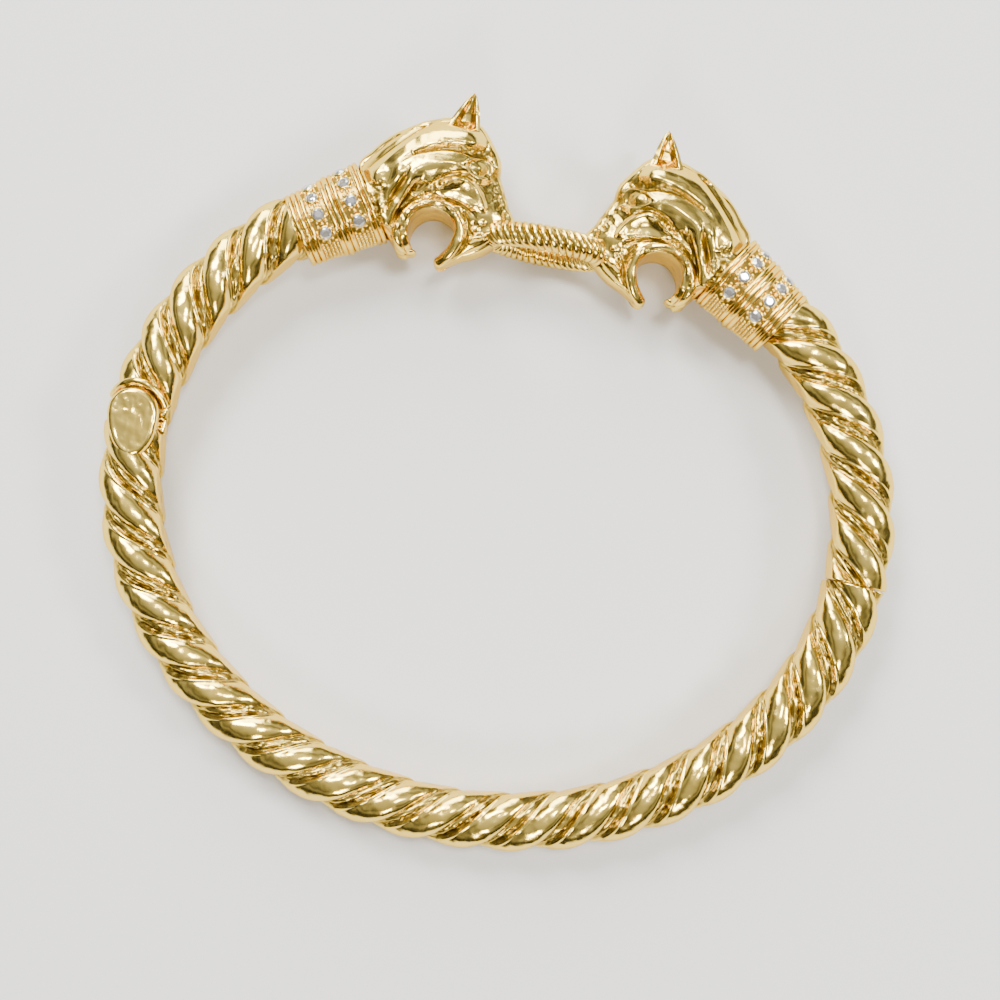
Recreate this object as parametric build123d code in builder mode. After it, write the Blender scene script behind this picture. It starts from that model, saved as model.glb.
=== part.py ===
from build123d import *
from collections import namedtuple
from math import asin, atan2, cos, degrees, hypot, pi, radians, sin, sqrt
import os

# Hinged oval bangle of twisted rope. Two feline heads meet at the front and
# hold a wire ring, and each head is joined to the rope by a collar of stones.
# Lengths are in millimetres and angles in degrees. The bangle is drawn in its
# own flat frame, with X to the wearer's right, Y out past the heads and Z up
# through the wrist hole. It is set down in the row frame as it lies by itself:
# on the ring and on the back of the rope.

# Oval that the rope's centre line follows
oval_half_width = 32.6
oval_half_depth = 28.2

# Rope of round strands with a flattened inner wall. The dips are the depth
# below the rope's radius across one strand, as shares of the groove's depth.
strand_count = 3
strand_lead = 13.35
rope_back_radius = 2.75
rope_front_radius = 3.2
strand_groove = 0.22
strand_dips = [1.0, 0.2, 0.0, 0.05, 0.35, 0.85]
inner_wall_share = 0.80

# Hinge on the left, at this angle of the oval
hinge_angle = 177.3
hinge_outset = 0.3
hinge_ear_radius = 2.25
hinge_knuckle_height = 1.9
hinge_gap = 0.15
hinge_inner_edge = -25.0
hinge_outer_edge = 155.0
hinge_cut_share = 3.0
opening_limit = 45.0
hinge_ear_chamfer = 0.4
pin_radius = 0.55
pin_running_gap = 0.05
pin_press_gap = 0.01
pin_end_cover = 0.6

# Push-in clasp on the right
clasp_angle = -3.15
clasp_seam_gap = 0.12
clasp_tongue_width = 2.3
clasp_tongue_height = 1.7
clasp_tongue_reach = 4.2
clasp_tongue_root = 3.0
clasp_slot_gap = 0.10

# Collars between the rope and the heads
collar_rope_angle = 46.7
collar_head_angle = 59.5
collar_inset = 0.4
collar_rope_radius = 3.0
collar_head_radius = 3.55
wire_radius = 0.21
wire_pitch = 0.5
wire_rise = 0.05
rib_count = 4
collar_tenon_radius = 1.9
collar_tenon_length = 2.4
joint_gap = 0.05

# Round stones in the collars
stones_per_band = 9
stone_pitch = 30.0
stone_radius = 0.64
stone_facets = 8
stone_seat_gap = 0.04
stone_seat_depth = 0.62
stone_depth = 0.58
stone_girdle_rise = 0.04
stone_table_share = 0.55
stone_crown_height = 0.24
stone_culet_share = 0.12

# Heads, measured from the centre of the arch under the throat
arch_from_neck = 6.11
arch_inside_neck = 1.99
arch_radius = 2.1
arch_rim_width = 0.6
arch_rim_rise = 0.3
head_reach = 10.2
head_half_thickness = 4.0
neck_radius = 3.55
ear_length = 4.2
ear_root_depth = 8.5

# Ring of ridged wire in the two mouths
mouth_ahead_of_arch = 5.15
mouth_above_arch = 1.2
ring_half_height = 3.7
ring_wire_radius = 1.15
ring_ridges = 44
ring_ridge_depth = 0.14
ring_wire_sides = 12
oval_samples = 2880

# Rope is made this many degrees longer at each end and trimmed there
blank_margin = 5

# Shapes that only cut reach this far past what they cut
cut_margin = 1.0
seam_sweep = 30.0
wedge_step = 60.0

head_rings_per_row = 2

os.makedirs("parts", exist_ok=True)

HeadSection = namedtuple("HeadSection", "angle reach arch cheek temple crest")

# One row for each section round the throat arch, from the neck over the
# crest and the muzzle to the chin. Angle 0 points back along X. Reach is a
# share of head_reach, and the last four are half thicknesses as shares of
# head_half_thickness: at the arch rim, the cheek, the temple and the edge.
head_sections = [
    HeadSection(-50, 0.300, 0.56, 0.54, 0.50, 0.40),
    HeadSection(-38, 0.375, 0.60, 0.60, 0.56, 0.40),
    HeadSection(-26, 0.440, 0.64, 0.66, 0.62, 0.40),
    HeadSection(-17, 0.452, 0.66, 0.70, 0.66, 0.35),
    HeadSection(0, 0.505, 0.70, 0.76, 0.80, 0.72),
    HeadSection(15, 0.605, 0.72, 0.84, 0.90, 0.88),
    HeadSection(25, 0.730, 0.74, 0.90, 0.90, 0.82),
    HeadSection(34, 0.905, 0.74, 0.94, 0.82, 0.26),
    HeadSection(45, 0.922, 0.74, 0.97, 0.76, 0.24),
    HeadSection(60, 0.966, 0.72, 1.00, 0.78, 0.24),
    HeadSection(75, 0.995, 0.70, 1.00, 0.84, 0.28),
    HeadSection(90, 1.020, 0.68, 1.00, 0.92, 0.40),
    HeadSection(102, 1.035, 0.66, 0.98, 0.94, 0.50),
    HeadSection(112, 0.935, 0.64, 0.90, 0.84, 0.50),
    HeadSection(122, 0.868, 0.62, 0.84, 0.66, 0.46),
    HeadSection(131, 0.795, 0.60, 0.78, 0.60, 0.42),
    HeadSection(140, 0.790, 0.60, 0.74, 0.62, 0.42),
    HeadSection(150, 0.790, 0.58, 0.72, 0.66, 0.46),
    HeadSection(158, 0.775, 0.56, 0.66, 0.62, 0.42),
    HeadSection(167, 0.650, 0.54, 0.60, 0.55, 0.40),
    HeadSection(178, 0.520, 0.52, 0.55, 0.52, 0.40),
    HeadSection(190, 0.410, 0.50, 0.50, 0.48, 0.38),
    HeadSection(206, 0.330, 0.48, 0.46, 0.43, 0.34),
    HeadSection(224, 0.295, 0.46, 0.43, 0.40, 0.32),
    HeadSection(243, 0.285, 0.42, 0.40, 0.37, 0.30),
]

HeadStation = namedtuple("HeadStation", "share arch cheek temple crest")

# How far out each point of a head section lies between the arch rim and the
# outline, and how the four thicknesses mix there.
head_stations = [
    HeadStation(0.18, 0.45, 0.55, 0.00, 0.00),
    HeadStation(0.38, 0.08, 0.92, 0.00, 0.00),
    HeadStation(0.58, 0.00, 0.90, 0.10, 0.00),
    HeadStation(0.76, 0.00, 0.00, 1.00, 0.00),
    HeadStation(0.90, 0.00, 0.00, 0.58, 0.42),
    HeadStation(1.00, 0.00, 0.00, 0.00, 1.00),
]

EarPoint = namedtuple("EarPoint", "back up across")

# Ear corners behind the arch centre, above the ear's root and out to the side,
# as shares of ear_length.
ear_points = {
    "front": EarPoint(-0.70, 0.0, 0.72),
    "back": EarPoint(0.38, 0.0, 0.68),
    "keel": EarPoint(-0.17, 0.0, 0.24),
    "hollow": EarPoint(-0.21, 0.33, 0.57),
    "tip": EarPoint(-0.39, 1.0, 0.79),
}
ear_facets = [
    ("front", "keel", "back"),
    ("keel", "front", "tip"),
    ("back", "keel", "tip"),
    ("front", "hollow", "tip"),
    ("hollow", "back", "tip"),
    ("front", "back", "hollow"),
]


# Oval, its normal and the places that follow from it

def oval_point(angle):
    """Point of the rope's centre line."""
    return Vector(oval_half_width * cos(radians(angle)), oval_half_depth * sin(radians(angle)), 0)


def oval_outward(angle):
    """Unit vector that points out of the oval."""
    return Vector(cos(radians(angle)) / oval_half_width, sin(radians(angle)) / oval_half_depth, 0).normalized()


def oval_speed(angle):
    """Millimetres of centre line for one degree of angle."""
    return hypot(oval_half_width * sin(radians(angle)), oval_half_depth * cos(radians(angle))) * pi / 180


up = Vector(0, 0, 1)

# The collar's axis is a straight line between two points just inside the oval
collar_start = oval_point(collar_rope_angle) - oval_outward(collar_rope_angle) * collar_inset
collar_end = oval_point(collar_head_angle) - oval_outward(collar_head_angle) * collar_inset
collar_length = (collar_end - collar_start).length
collar_direction = (collar_end - collar_start).normalized()
collar_outward = collar_direction.cross(up)


def collar_plane(along):
    """Plane across the collar's axis, X out of the oval, Z towards the head."""
    return Plane(collar_start + collar_direction * along, x_dir=collar_outward, z_dir=collar_direction)


# Head, ring and mouth follow the collar's head end
neck_plane = collar_plane(collar_length + joint_gap)
arch_centre = neck_plane.origin + Vector(-arch_from_neck, -arch_inside_neck, 0)
ring_half_width = arch_centre.X - mouth_ahead_of_arch
ring_out = arch_centre.Y + mouth_above_arch

# How the bangle lies: a line that touches the ring's wire and the back of the rope
lie_run = ring_out + oval_half_depth
lie_angle = degrees(
    atan2(ring_half_height, lie_run)
    + asin((ring_wire_radius - rope_back_radius) / hypot(lie_run, ring_half_height))
)
lie_height = ring_half_height * cos(radians(lie_angle)) + ring_wire_radius - ring_out * sin(radians(lie_angle))
ear_reach = arch_centre.Y + ear_root_depth + ear_length
back_reach = oval_half_depth + rope_back_radius
lie_shift = -(ear_reach - back_reach) / 2 * cos(radians(lie_angle))
flat = Plane(
    origin=(0, lie_shift, lie_height),
    x_dir=(1, 0, 0),
    z_dir=(0, -sin(radians(lie_angle)), cos(radians(lie_angle))),
)


def lying(plane):
    """A plane of the flat bangle, set down as the bangle lies."""
    return Plane(
        flat.from_local_coords(plane.origin),
        x_dir=flat.from_local_coords(plane.x_dir) - flat.origin,
        z_dir=flat.from_local_coords(plane.z_dir) - flat.origin,
    )


def on_left(plane):
    """The same plane on the wearer's left."""
    origin, x_dir, z_dir = (Vector(-v.X, v.Y, v.Z) for v in (plane.origin, plane.x_dir, plane.z_dir))
    return Plane(origin, x_dir=x_dir, z_dir=z_dir)


# Faceted solids

def facet(points):
    """Flat face on points of the flat bangle, set down as the bangle lies."""
    return Face(Wire.make_polygon([flat.from_local_coords(point) for point in points], close=True))


def skin(rings, looped=False):
    """Closed solid whose skin joins each ring of points to the next with triangles."""
    pairs = list(zip(rings, rings[1:]))
    if looped:
        pairs.append((rings[-1], rings[0]))
    faces = []
    for near, far in pairs:
        for j in range(len(near)):
            k = (j + 1) % len(near)
            faces.append(facet([near[j], near[k], far[j]]))
            faces.append(facet([near[k], far[k], far[j]]))
    if not looped:
        faces.append(facet(rings[0][::-1]))
        faces.append(facet(rings[-1]))
    return Solid(Shell(faces))


# Rope

points_per_strand = len(strand_dips)
rope_points = strand_count * points_per_strand
rope_step = strand_lead / rope_points
strand_profile = [1.0 - strand_groove * dip for dip in strand_dips]


def rope_radius(angle):
    """Radius over the strands, growing from the back of the bangle to the collars."""
    from_back = abs((angle + 90) % 360 - 180)
    share = (180 - from_back) / (90 + collar_rope_angle)
    return rope_back_radius + (rope_front_radius - rope_back_radius) * share


def rope_stations():
    """Angles of the rope's sections, evenly spaced from the left collar to the right."""
    angles = [180 - collar_rope_angle - blank_margin]
    while angles[-1] < 360 + collar_rope_angle + blank_margin:
        angles.append(angles[-1] + rope_step / oval_speed(angles[-1]))
    return angles


def rope_section(index, angle):
    """Ring of points round the rope, with the inner side flattened."""
    centre = oval_point(angle)
    outward = oval_outward(angle)
    radius = rope_radius(angle)
    inner_wall = radius * inner_wall_share
    ring = []
    for j in range(rope_points):
        turn = -2 * pi * j / rope_points
        reach = radius * strand_profile[(j + index) % points_per_strand]
        if cos(turn) < 0:
            reach = min(reach, inner_wall / -cos(turn))
        ring.append(centre + outward * (reach * cos(turn)) + up * (reach * sin(turn)))
    return ring


def rope_between(first, last):
    """Rope whose ends lie just past two angles of the oval."""
    stations = list(enumerate(rope_stations()))
    inside = [i for i, angle in stations if first <= angle <= last]
    low = max(inside[0] - 1, 0)
    high = min(inside[-1] + 1, len(stations) - 1)
    return skin([rope_section(i, angle) for i, angle in stations[low:high + 1]])


# Hinge and clasp places

pin_centre = oval_point(hinge_angle) + oval_outward(hinge_angle) * hinge_outset
clasp_inset = (1 - inner_wall_share) * rope_radius(clasp_angle) / 2
clasp_centre = oval_point(clasp_angle) - oval_outward(clasp_angle) * clasp_inset
clasp_line = clasp_centre - pin_centre
clasp_distance = clasp_line.length
seam_angle = degrees(atan2(clasp_line.Y, clasp_line.X))
seam_half_gap = degrees(clasp_seam_gap / 2 / clasp_distance)
opening_axis = Axis(flat.from_local_coords(pin_centre), flat.z_dir)
closing_axis = Axis(flat.from_local_coords(pin_centre), flat.z_dir * -1)

ear_half_height = rope_radius(hinge_angle)
knuckle_half_height = hinge_knuckle_height / 2
ear_foot = knuckle_half_height + hinge_gap
edge_gap_angle = degrees(hinge_gap / hinge_ear_radius)
clear_edge = hinge_outer_edge + opening_limit + edge_gap_angle
near_hinge = hinge_cut_share * hinge_ear_radius
past_clasp = clasp_distance + near_hinge
cut_height = 2 * (ear_half_height + cut_margin)
pin_fit_radius = pin_radius + pin_press_gap
pin_bore_radius = pin_radius + pin_running_gap


def across_hinge(height=0.0):
    """Plane at a height of the flat bangle with its origin on the hinge pin."""
    return lying(Plane(pin_centre + up * height))


def seam_plane(turn=0.0):
    """Upright plane through the hinge pin, turned from the line to the clasp."""
    toward = clasp_line.normalized().rotate(Axis.Z, turn)
    return lying(Plane(pin_centre, x_dir=toward, z_dir=toward.cross(up)))


def wedge(start, end, reach):
    """Corners of a wedge that spreads from the hinge pin between two directions."""
    steps = max(1, round((end - start) / wedge_step))
    turn = (end - start) / steps
    stretch = reach / cos(radians(turn / 2))
    rim = [Vector(stretch, 0).rotate(Axis.Z, start + turn * i) for i in range(steps + 1)]
    return [(0, 0)] + [(point.X, point.Y) for point in rim]


# Back half of the rope, with the outer hinge ears and the clasp slot

with BuildPart() as back_cut:
    with BuildSketch(across_hinge(-cut_height / 2)):
        with BuildLine():
            Polyline(*wedge(hinge_inner_edge - edge_gap_angle, clear_edge, near_hinge), close=True)
        make_face()
        with BuildLine():
            Polyline(*wedge(seam_angle - seam_half_gap, seam_angle + seam_sweep, past_clasp), close=True)
        make_face()
    extrude(amount=cut_height)
    with BuildSketch(across_hinge(-ear_foot)):
        Circle(hinge_ear_radius + hinge_gap)
    extrude(amount=2 * ear_foot)
    with BuildSketch(across_hinge(-ear_half_height)):
        Circle(pin_fit_radius)
    extrude(amount=2 * ear_half_height - pin_end_cover)
    with BuildSketch(seam_plane()):
        with Locations((clasp_distance, 0)):
            Rectangle(clasp_tongue_width + 2 * clasp_slot_gap, clasp_tongue_height + 2 * clasp_slot_gap)
    revolve(axis=closing_axis, revolution_arc=degrees((clasp_tongue_reach + clasp_slot_gap) / clasp_distance))

with BuildPart() as back_ears:
    for side in (-1, 1):
        with BuildSketch(across_hinge(side * ear_foot)):
            Circle(hinge_ear_radius)
        extrude(amount=side * (ear_half_height - ear_foot))
    chamfer(back_ears.faces().sort_by(Axis(flat.origin, flat.z_dir))[0].edges(), hinge_ear_chamfer)
    chamfer(back_ears.faces().sort_by(Axis(flat.origin, flat.z_dir))[-1].edges(), hinge_ear_chamfer)
    with BuildSketch(across_hinge(-ear_half_height)):
        Circle(pin_fit_radius)
    extrude(amount=2 * ear_half_height - pin_end_cover, mode=Mode.SUBTRACT)

with BuildPart() as back_rope:
    add(rope_between(hinge_angle - blank_margin, 360 + clasp_angle + blank_margin))
    add(back_cut.part, mode=Mode.SUBTRACT, clean=False)
    add(back_ears.part, clean=False)
back_rope.part.label = "back_rope"
export_step(back_rope.part, "parts/back_rope.step")

with BuildPart() as hinge_pin:
    with BuildSketch(across_hinge(-ear_half_height)):
        Circle(pin_radius)
    extrude(amount=2 * ear_half_height - pin_end_cover - joint_gap)
hinge_pin.part.label = "hinge_pin"
export_step(hinge_pin.part, "parts/hinge_pin.step")

# Left arm: hinge knuckle at one end, round tenon for the collar at the other

collar_left_plane = lying(on_left(collar_plane(-joint_gap)))

with BuildPart() as left_arm_cut:
    with BuildSketch(across_hinge(-cut_height / 2)):
        with BuildLine():
            Polyline(*wedge(hinge_outer_edge, 360 + hinge_inner_edge, near_hinge), close=True)
        make_face()
    extrude(amount=cut_height)
    for side in (-1, 1):
        with BuildSketch(across_hinge(side * knuckle_half_height)):
            Circle(hinge_ear_radius + hinge_gap)
        extrude(amount=side * cut_height / 2)
    with BuildSketch(collar_left_plane):
        Rectangle(cut_height, cut_height)
    extrude(amount=near_hinge)

with BuildPart() as left_arm_ends:
    with BuildSketch(across_hinge(-knuckle_half_height)):
        Circle(hinge_ear_radius)
    extrude(amount=2 * knuckle_half_height)
    with BuildSketch(collar_left_plane):
        Circle(collar_tenon_radius)
    extrude(amount=collar_tenon_length, both=True)

with BuildPart() as knuckle_bore:
    with BuildSketch(across_hinge(-cut_height / 2)):
        Circle(pin_bore_radius)
    extrude(amount=cut_height)

with BuildPart() as left_arm:
    add(rope_between(180 - collar_rope_angle - blank_margin, hinge_angle + blank_margin))
    add(left_arm_cut.part, mode=Mode.SUBTRACT, clean=False)
    add(left_arm_ends.part, clean=False)
    add(knuckle_bore.part, mode=Mode.SUBTRACT, clean=False)
left_arm.part.label = "left_arm"
export_step(left_arm.part, "parts/left_arm.step")

# Right arm: tenon for the collar at one end, pocket for the clasp tongue at the other

collar_right_plane = lying(collar_plane(-joint_gap))

with BuildPart() as right_arm_cut:
    with BuildSketch(across_hinge(-cut_height / 2)):
        with BuildLine():
            Polyline(*wedge(seam_angle - seam_sweep, seam_angle + seam_half_gap, past_clasp), close=True)
        make_face()
    extrude(amount=cut_height)
    with BuildSketch(seam_plane()):
        with Locations((clasp_distance, 0)):
            Rectangle(clasp_tongue_width + 2 * joint_gap, clasp_tongue_height + 2 * joint_gap)
    revolve(axis=opening_axis, revolution_arc=degrees((clasp_tongue_root + joint_gap) / clasp_distance))
    with BuildSketch(collar_right_plane):
        Rectangle(cut_height, cut_height)
    extrude(amount=near_hinge)

with BuildPart() as right_arm_tenon:
    with BuildSketch(collar_right_plane):
        Circle(collar_tenon_radius)
    extrude(amount=collar_tenon_length, both=True)

with BuildPart() as right_arm:
    add(rope_between(360 + clasp_angle - blank_margin, 360 + collar_rope_angle + blank_margin))
    add(right_arm_cut.part, mode=Mode.SUBTRACT, clean=False)
    add(right_arm_tenon.part, clean=False)
right_arm.part.label = "right_arm"
export_step(right_arm.part, "parts/right_arm.step")

with BuildPart() as clasp_tongue:
    with BuildSketch(seam_plane(degrees(-clasp_tongue_reach / clasp_distance))):
        with Locations((clasp_distance, 0)):
            Rectangle(clasp_tongue_width, clasp_tongue_height)
    revolve(axis=opening_axis, revolution_arc=degrees((clasp_tongue_reach + clasp_tongue_root) / clasp_distance))
clasp_tongue.part.label = "clasp_tongue"
export_step(clasp_tongue.part, "parts/clasp_tongue.step")

# Collars: a flared drum with rims and ribs of wire, and two bands for the stones


def collar_radius(along):
    """Radius of the drum at a distance from the rope."""
    return collar_rope_radius + (collar_head_radius - collar_rope_radius) * along / collar_length


def wire_places():
    """Distances of the wires from the rope: two at each end and the ribs between."""
    ribs = [collar_length / 2 + wire_pitch * (i - (rib_count - 1) / 2) for i in range(rib_count)]
    return [wire_pitch / 2, 3 * wire_pitch / 2] + ribs + [
        collar_length - 3 * wire_pitch / 2,
        collar_length - wire_pitch / 2,
    ]


def stone_planes(along):
    """Planes on the skin of one band, one for each stone, with Z out of the band."""
    middle = collar_plane(along)
    planes = []
    for i in range(stones_per_band):
        turn = stone_pitch * (i - (stones_per_band - 1) / 2)
        outward = middle.x_dir * cos(radians(turn)) + up * sin(radians(turn))
        seat = middle.origin + outward * collar_radius(along)
        planes.append(lying(Plane(seat, x_dir=middle.z_dir, z_dir=outward)))
    return planes


wires = wire_places()
bands = {"rope_band": (wires[1] + wires[2]) / 2, "head_band": (wires[-3] + wires[-2]) / 2}
collar_lengthwise = lying(Plane(collar_start, x_dir=collar_outward, z_dir=up))

with BuildPart() as stone_seats:
    for along in bands.values():
        for plane in stone_planes(along):
            with BuildSketch(plane):
                Circle(stone_radius + stone_seat_gap)
    extrude(amount=stone_seat_depth, both=True)

with BuildPart() as right_collar:
    with BuildSketch(collar_lengthwise):
        with BuildLine():
            Polyline(
                (0, 0),
                (collar_rope_radius, 0),
                (collar_head_radius, collar_length),
                (0, collar_length),
                close=True,
            )
        make_face()
        for along in wires:
            with Locations((collar_radius(along) + wire_rise, along)):
                Circle(wire_radius)
    revolve(axis=Axis(collar_lengthwise.origin, collar_lengthwise.y_dir))
    add(stone_seats.part, mode=Mode.SUBTRACT)
    with BuildSketch(lying(collar_plane(0))):
        Circle(collar_tenon_radius + joint_gap)
    extrude(amount=collar_tenon_length, mode=Mode.SUBTRACT)
    with BuildSketch(lying(collar_plane(collar_length))):
        Circle(collar_tenon_radius + joint_gap)
    extrude(amount=-collar_tenon_length, mode=Mode.SUBTRACT)
right_collar.part.label = "right_collar"
export_step(right_collar.part, "parts/right_collar.step")

with BuildPart() as left_collar:
    add(mirror(right_collar.part, about=Plane.YZ, mode=Mode.PRIVATE))
left_collar.part.label = "left_collar"
export_step(left_collar.part, "parts/left_collar.step")

# Stones: flat table, crown, girdle and a pavilion that narrows to the culet

stone_levels = [
    (stone_girdle_rise - stone_depth, stone_radius * stone_culet_share),
    (stone_girdle_rise, stone_radius),
    (stone_girdle_rise + stone_crown_height, stone_radius * stone_table_share),
]

for band, along in bands.items():
    for number, plane in enumerate(stone_planes(along), start=1):
        with BuildPart() as right_stone:
            for height, radius in stone_levels:
                with BuildSketch(plane.offset(height)):
                    RegularPolygon(radius, stone_facets)
            loft(ruled=True)
        right_stone.part.label = f"right_{band}_stone_{number}"
        export_step(right_stone.part, f"parts/right_{band}_stone_{number}.step")
        with BuildPart() as left_stone:
            add(mirror(right_stone.part, about=Plane.YZ, mode=Mode.PRIVATE))
        left_stone.part.label = f"left_{band}_stone_{number}"
        export_step(left_stone.part, f"parts/left_{band}_stone_{number}.step")

# Heads


def blended(rows, place):
    """Row of a table at a fractional place, on a smooth curve through the rows."""
    i = min(int(place), len(rows) - 2)
    t = place - i
    before = rows[max(i - 1, 0)]
    after = rows[min(i + 2, len(rows) - 1)]
    mixed = []
    for a, b, c, d in zip(before, rows[i], rows[i + 1], after):
        slope_b = (c - a) / 2
        slope_c = (d - b) / 2
        cubic = 2 * b - 2 * c + slope_b + slope_c
        square = 3 * (c - b) - 2 * slope_b - slope_c
        mixed.append(cubic * t ** 3 + square * t ** 2 + slope_b * t + b)
    return type(rows[i])(*mixed)


def head_ring(row):
    """Ring of points round one section of the head, from the arch to the outline."""
    ray = Vector(1, 0, 0).rotate(Axis.Z, row.angle)
    reach = row.reach * head_reach
    crest = row.crest * head_half_thickness
    toward_neck = -ray.dot(neck_plane.z_dir)
    if toward_neck > 0:
        to_neck = (arch_centre - neck_plane.origin).dot(neck_plane.z_dir) / toward_neck
        if to_neck < reach:
            reach = to_neck
            aside = (arch_centre + ray * reach - neck_plane.origin).dot(neck_plane.x_dir)
            crest = max(crest, sqrt(max(neck_radius ** 2 - aside ** 2, 0)))
    rim = row.arch * head_half_thickness
    profile = [
        (arch_radius, rim),
        (arch_radius + arch_rim_width / 2, rim + arch_rim_rise),
        (arch_radius + arch_rim_width, rim),
    ]
    body = reach - arch_radius - arch_rim_width
    for station in head_stations:
        skin_height = (
            station.arch * row.arch + station.cheek * row.cheek + station.temple * row.temple
        ) * head_half_thickness + station.crest * crest
        profile.append((arch_radius + arch_rim_width + station.share * body, skin_height))
    upper = [arch_centre + ray * out + up * height for out, height in profile]
    lower = [arch_centre + ray * out - up * height for out, height in reversed(profile)]
    return lower + upper


head_steps = (len(head_sections) - 1) * head_rings_per_row
head_rings = [head_ring(blended(head_sections, i / head_rings_per_row)) for i in range(head_steps + 1)]


def ear(side):
    """Pointed ear, hollow on its outer side, on one side of the head."""
    corners = {}
    for name, point in ear_points.items():
        corners[name] = arch_centre + Vector(
            point.back * ear_length, ear_root_depth + point.up * ear_length, side * point.across * ear_length
        )
    faces = []
    for names in ear_facets:
        turned = names if side > 0 else names[::-1]
        faces.append(facet([corners[name] for name in turned]))
    return Solid(Shell(faces))


mouth_gap = ring_wire_radius + joint_gap

with BuildPart() as right_head:
    add(skin(head_rings))
    with BuildSketch(lying(Plane((0, ring_out, -head_half_thickness)))):
        Rectangle(2 * (ring_half_width + mouth_gap), 2 * mouth_gap)
    extrude(amount=2 * head_half_thickness, mode=Mode.SUBTRACT, clean=False)
    add([ear(1), ear(-1)], clean=False)
    with BuildSketch(lying(neck_plane)):
        Circle(collar_tenon_radius)
    extrude(amount=collar_tenon_length - 2 * joint_gap, both=True, clean=False)
right_head.part.label = "right_head"
export_step(right_head.part, "parts/right_head.step")

with BuildPart() as left_head:
    add(mirror(right_head.part, about=Plane.YZ, mode=Mode.PRIVATE))
left_head.part.label = "left_head"
export_step(left_head.part, "parts/left_head.step")

# Ring of ridged wire that stands across the two mouths


def ring_turns():
    """Angles round the ring's oval, two for each ridge, evenly spaced along the wire."""
    samples = [360 * i / oval_samples for i in range(oval_samples + 1)]
    lengths = [0.0]
    for turn in samples[1:]:
        run = hypot(ring_half_width * sin(radians(turn)), ring_half_height * cos(radians(turn)))
        lengths.append(lengths[-1] + run)
    turns = []
    for i in range(2 * ring_ridges):
        target = lengths[-1] * i / (2 * ring_ridges)
        place = next(k for k, length in enumerate(lengths) if length >= target)
        turns.append(samples[place])
    return turns


def ring_section(index, turn):
    """Ring of points round the wire, on a ridge or between two."""
    across = cos(radians(turn))
    rise = sin(radians(turn))
    centre = Vector(ring_half_width * across, ring_out, ring_half_height * rise)
    outward = Vector(across / ring_half_width, 0, rise / ring_half_height).normalized()
    radius = ring_wire_radius - ring_ridge_depth * (index % 2)
    ring = []
    for j in range(ring_wire_sides):
        roll = 2 * pi * j / ring_wire_sides
        ring.append(centre + outward * (radius * cos(roll)) + Vector(0, radius * sin(roll), 0))
    return ring


with BuildPart() as mouth_ring:
    add(skin([ring_section(i, turn) for i, turn in enumerate(ring_turns())], looped=True))
mouth_ring.part.label = "mouth_ring"
export_step(mouth_ring.part, "parts/mouth_ring.step")
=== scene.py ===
"""Looks of the animal head bracelet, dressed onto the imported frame."""

import logging
import math
from dataclasses import dataclass
from enum import Enum

import bmesh
import bpy
import numpy as np
from mathutils import Matrix, Vector


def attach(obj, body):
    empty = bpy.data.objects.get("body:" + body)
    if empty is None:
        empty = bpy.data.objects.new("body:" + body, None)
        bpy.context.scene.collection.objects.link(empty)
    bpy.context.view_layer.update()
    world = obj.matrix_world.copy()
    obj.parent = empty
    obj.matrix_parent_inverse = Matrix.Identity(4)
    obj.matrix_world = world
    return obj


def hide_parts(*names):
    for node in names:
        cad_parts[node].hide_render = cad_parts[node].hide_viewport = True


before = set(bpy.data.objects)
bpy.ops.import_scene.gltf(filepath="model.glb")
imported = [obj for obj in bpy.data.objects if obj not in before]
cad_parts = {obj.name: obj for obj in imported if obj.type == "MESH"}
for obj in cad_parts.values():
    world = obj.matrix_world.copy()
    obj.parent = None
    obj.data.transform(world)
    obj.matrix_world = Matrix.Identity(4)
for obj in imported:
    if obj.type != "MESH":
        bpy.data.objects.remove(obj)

MM = 0.001
FULL_TURN = 2 * math.pi
UP = np.array([0.0, 0.0, 1.0])
Plane = tuple[np.ndarray, np.ndarray]
Curve = tuple[tuple[float, float], ...]
Spot = tuple[float, float, float, float]
LOG = logging.getLogger("bracelet")


class Side(Enum):
    """The wearer's side that a piece is on, with the sign of its X."""

    RIGHT = 1
    LEFT = -1

    @property
    def flip(self) -> np.ndarray:
        """Factors that bring a point of the right side to this side."""
        return np.array([self.value, 1, 1])


class Crease(Enum):
    """Angle between faces, in degrees, past which an edge of a piece stays sharp."""

    CUT = 1.0
    CARVED = 35.0
    RIMMED = 50.0
    ROUNDED = 60.0


FINE_STEPS = 4000


def lengths_along(line: np.ndarray) -> np.ndarray:
    """Length of a path up to each of its points."""
    return np.concatenate([[0.0], np.cumsum(np.linalg.norm(np.diff(line, axis=0), axis=1))])


def eased(share: np.ndarray) -> np.ndarray:
    """A share from 0 to 1 that starts and ends gently."""
    return share * share * (3 - 2 * share)


@dataclass(frozen=True)
class Lie:
    """How the flat bangle is set down, in degrees and millimetres."""

    tilt: float = 2.339057
    shift: float = -1.86283
    height: float = 3.90092

    def row(self, points: np.ndarray) -> np.ndarray:
        """Sets points of the flat bangle down in the row.

        Args:
            points: Points in millimetres.

        Returns:
            Row points in metres.
        """
        c = math.cos(math.radians(self.tilt))
        s = math.sin(math.radians(self.tilt))
        x, y, z = np.asarray(points, float).T
        return np.stack([x, self.shift + y * c - z * s, self.height + y * s + z * c], axis=1) * MM

    def turned(self, directions: np.ndarray) -> np.ndarray:
        """Directions of the flat bangle, in the row frame."""
        origin = self.row(np.zeros((1, 3)))
        return (self.row(directions) - origin) / MM


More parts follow.
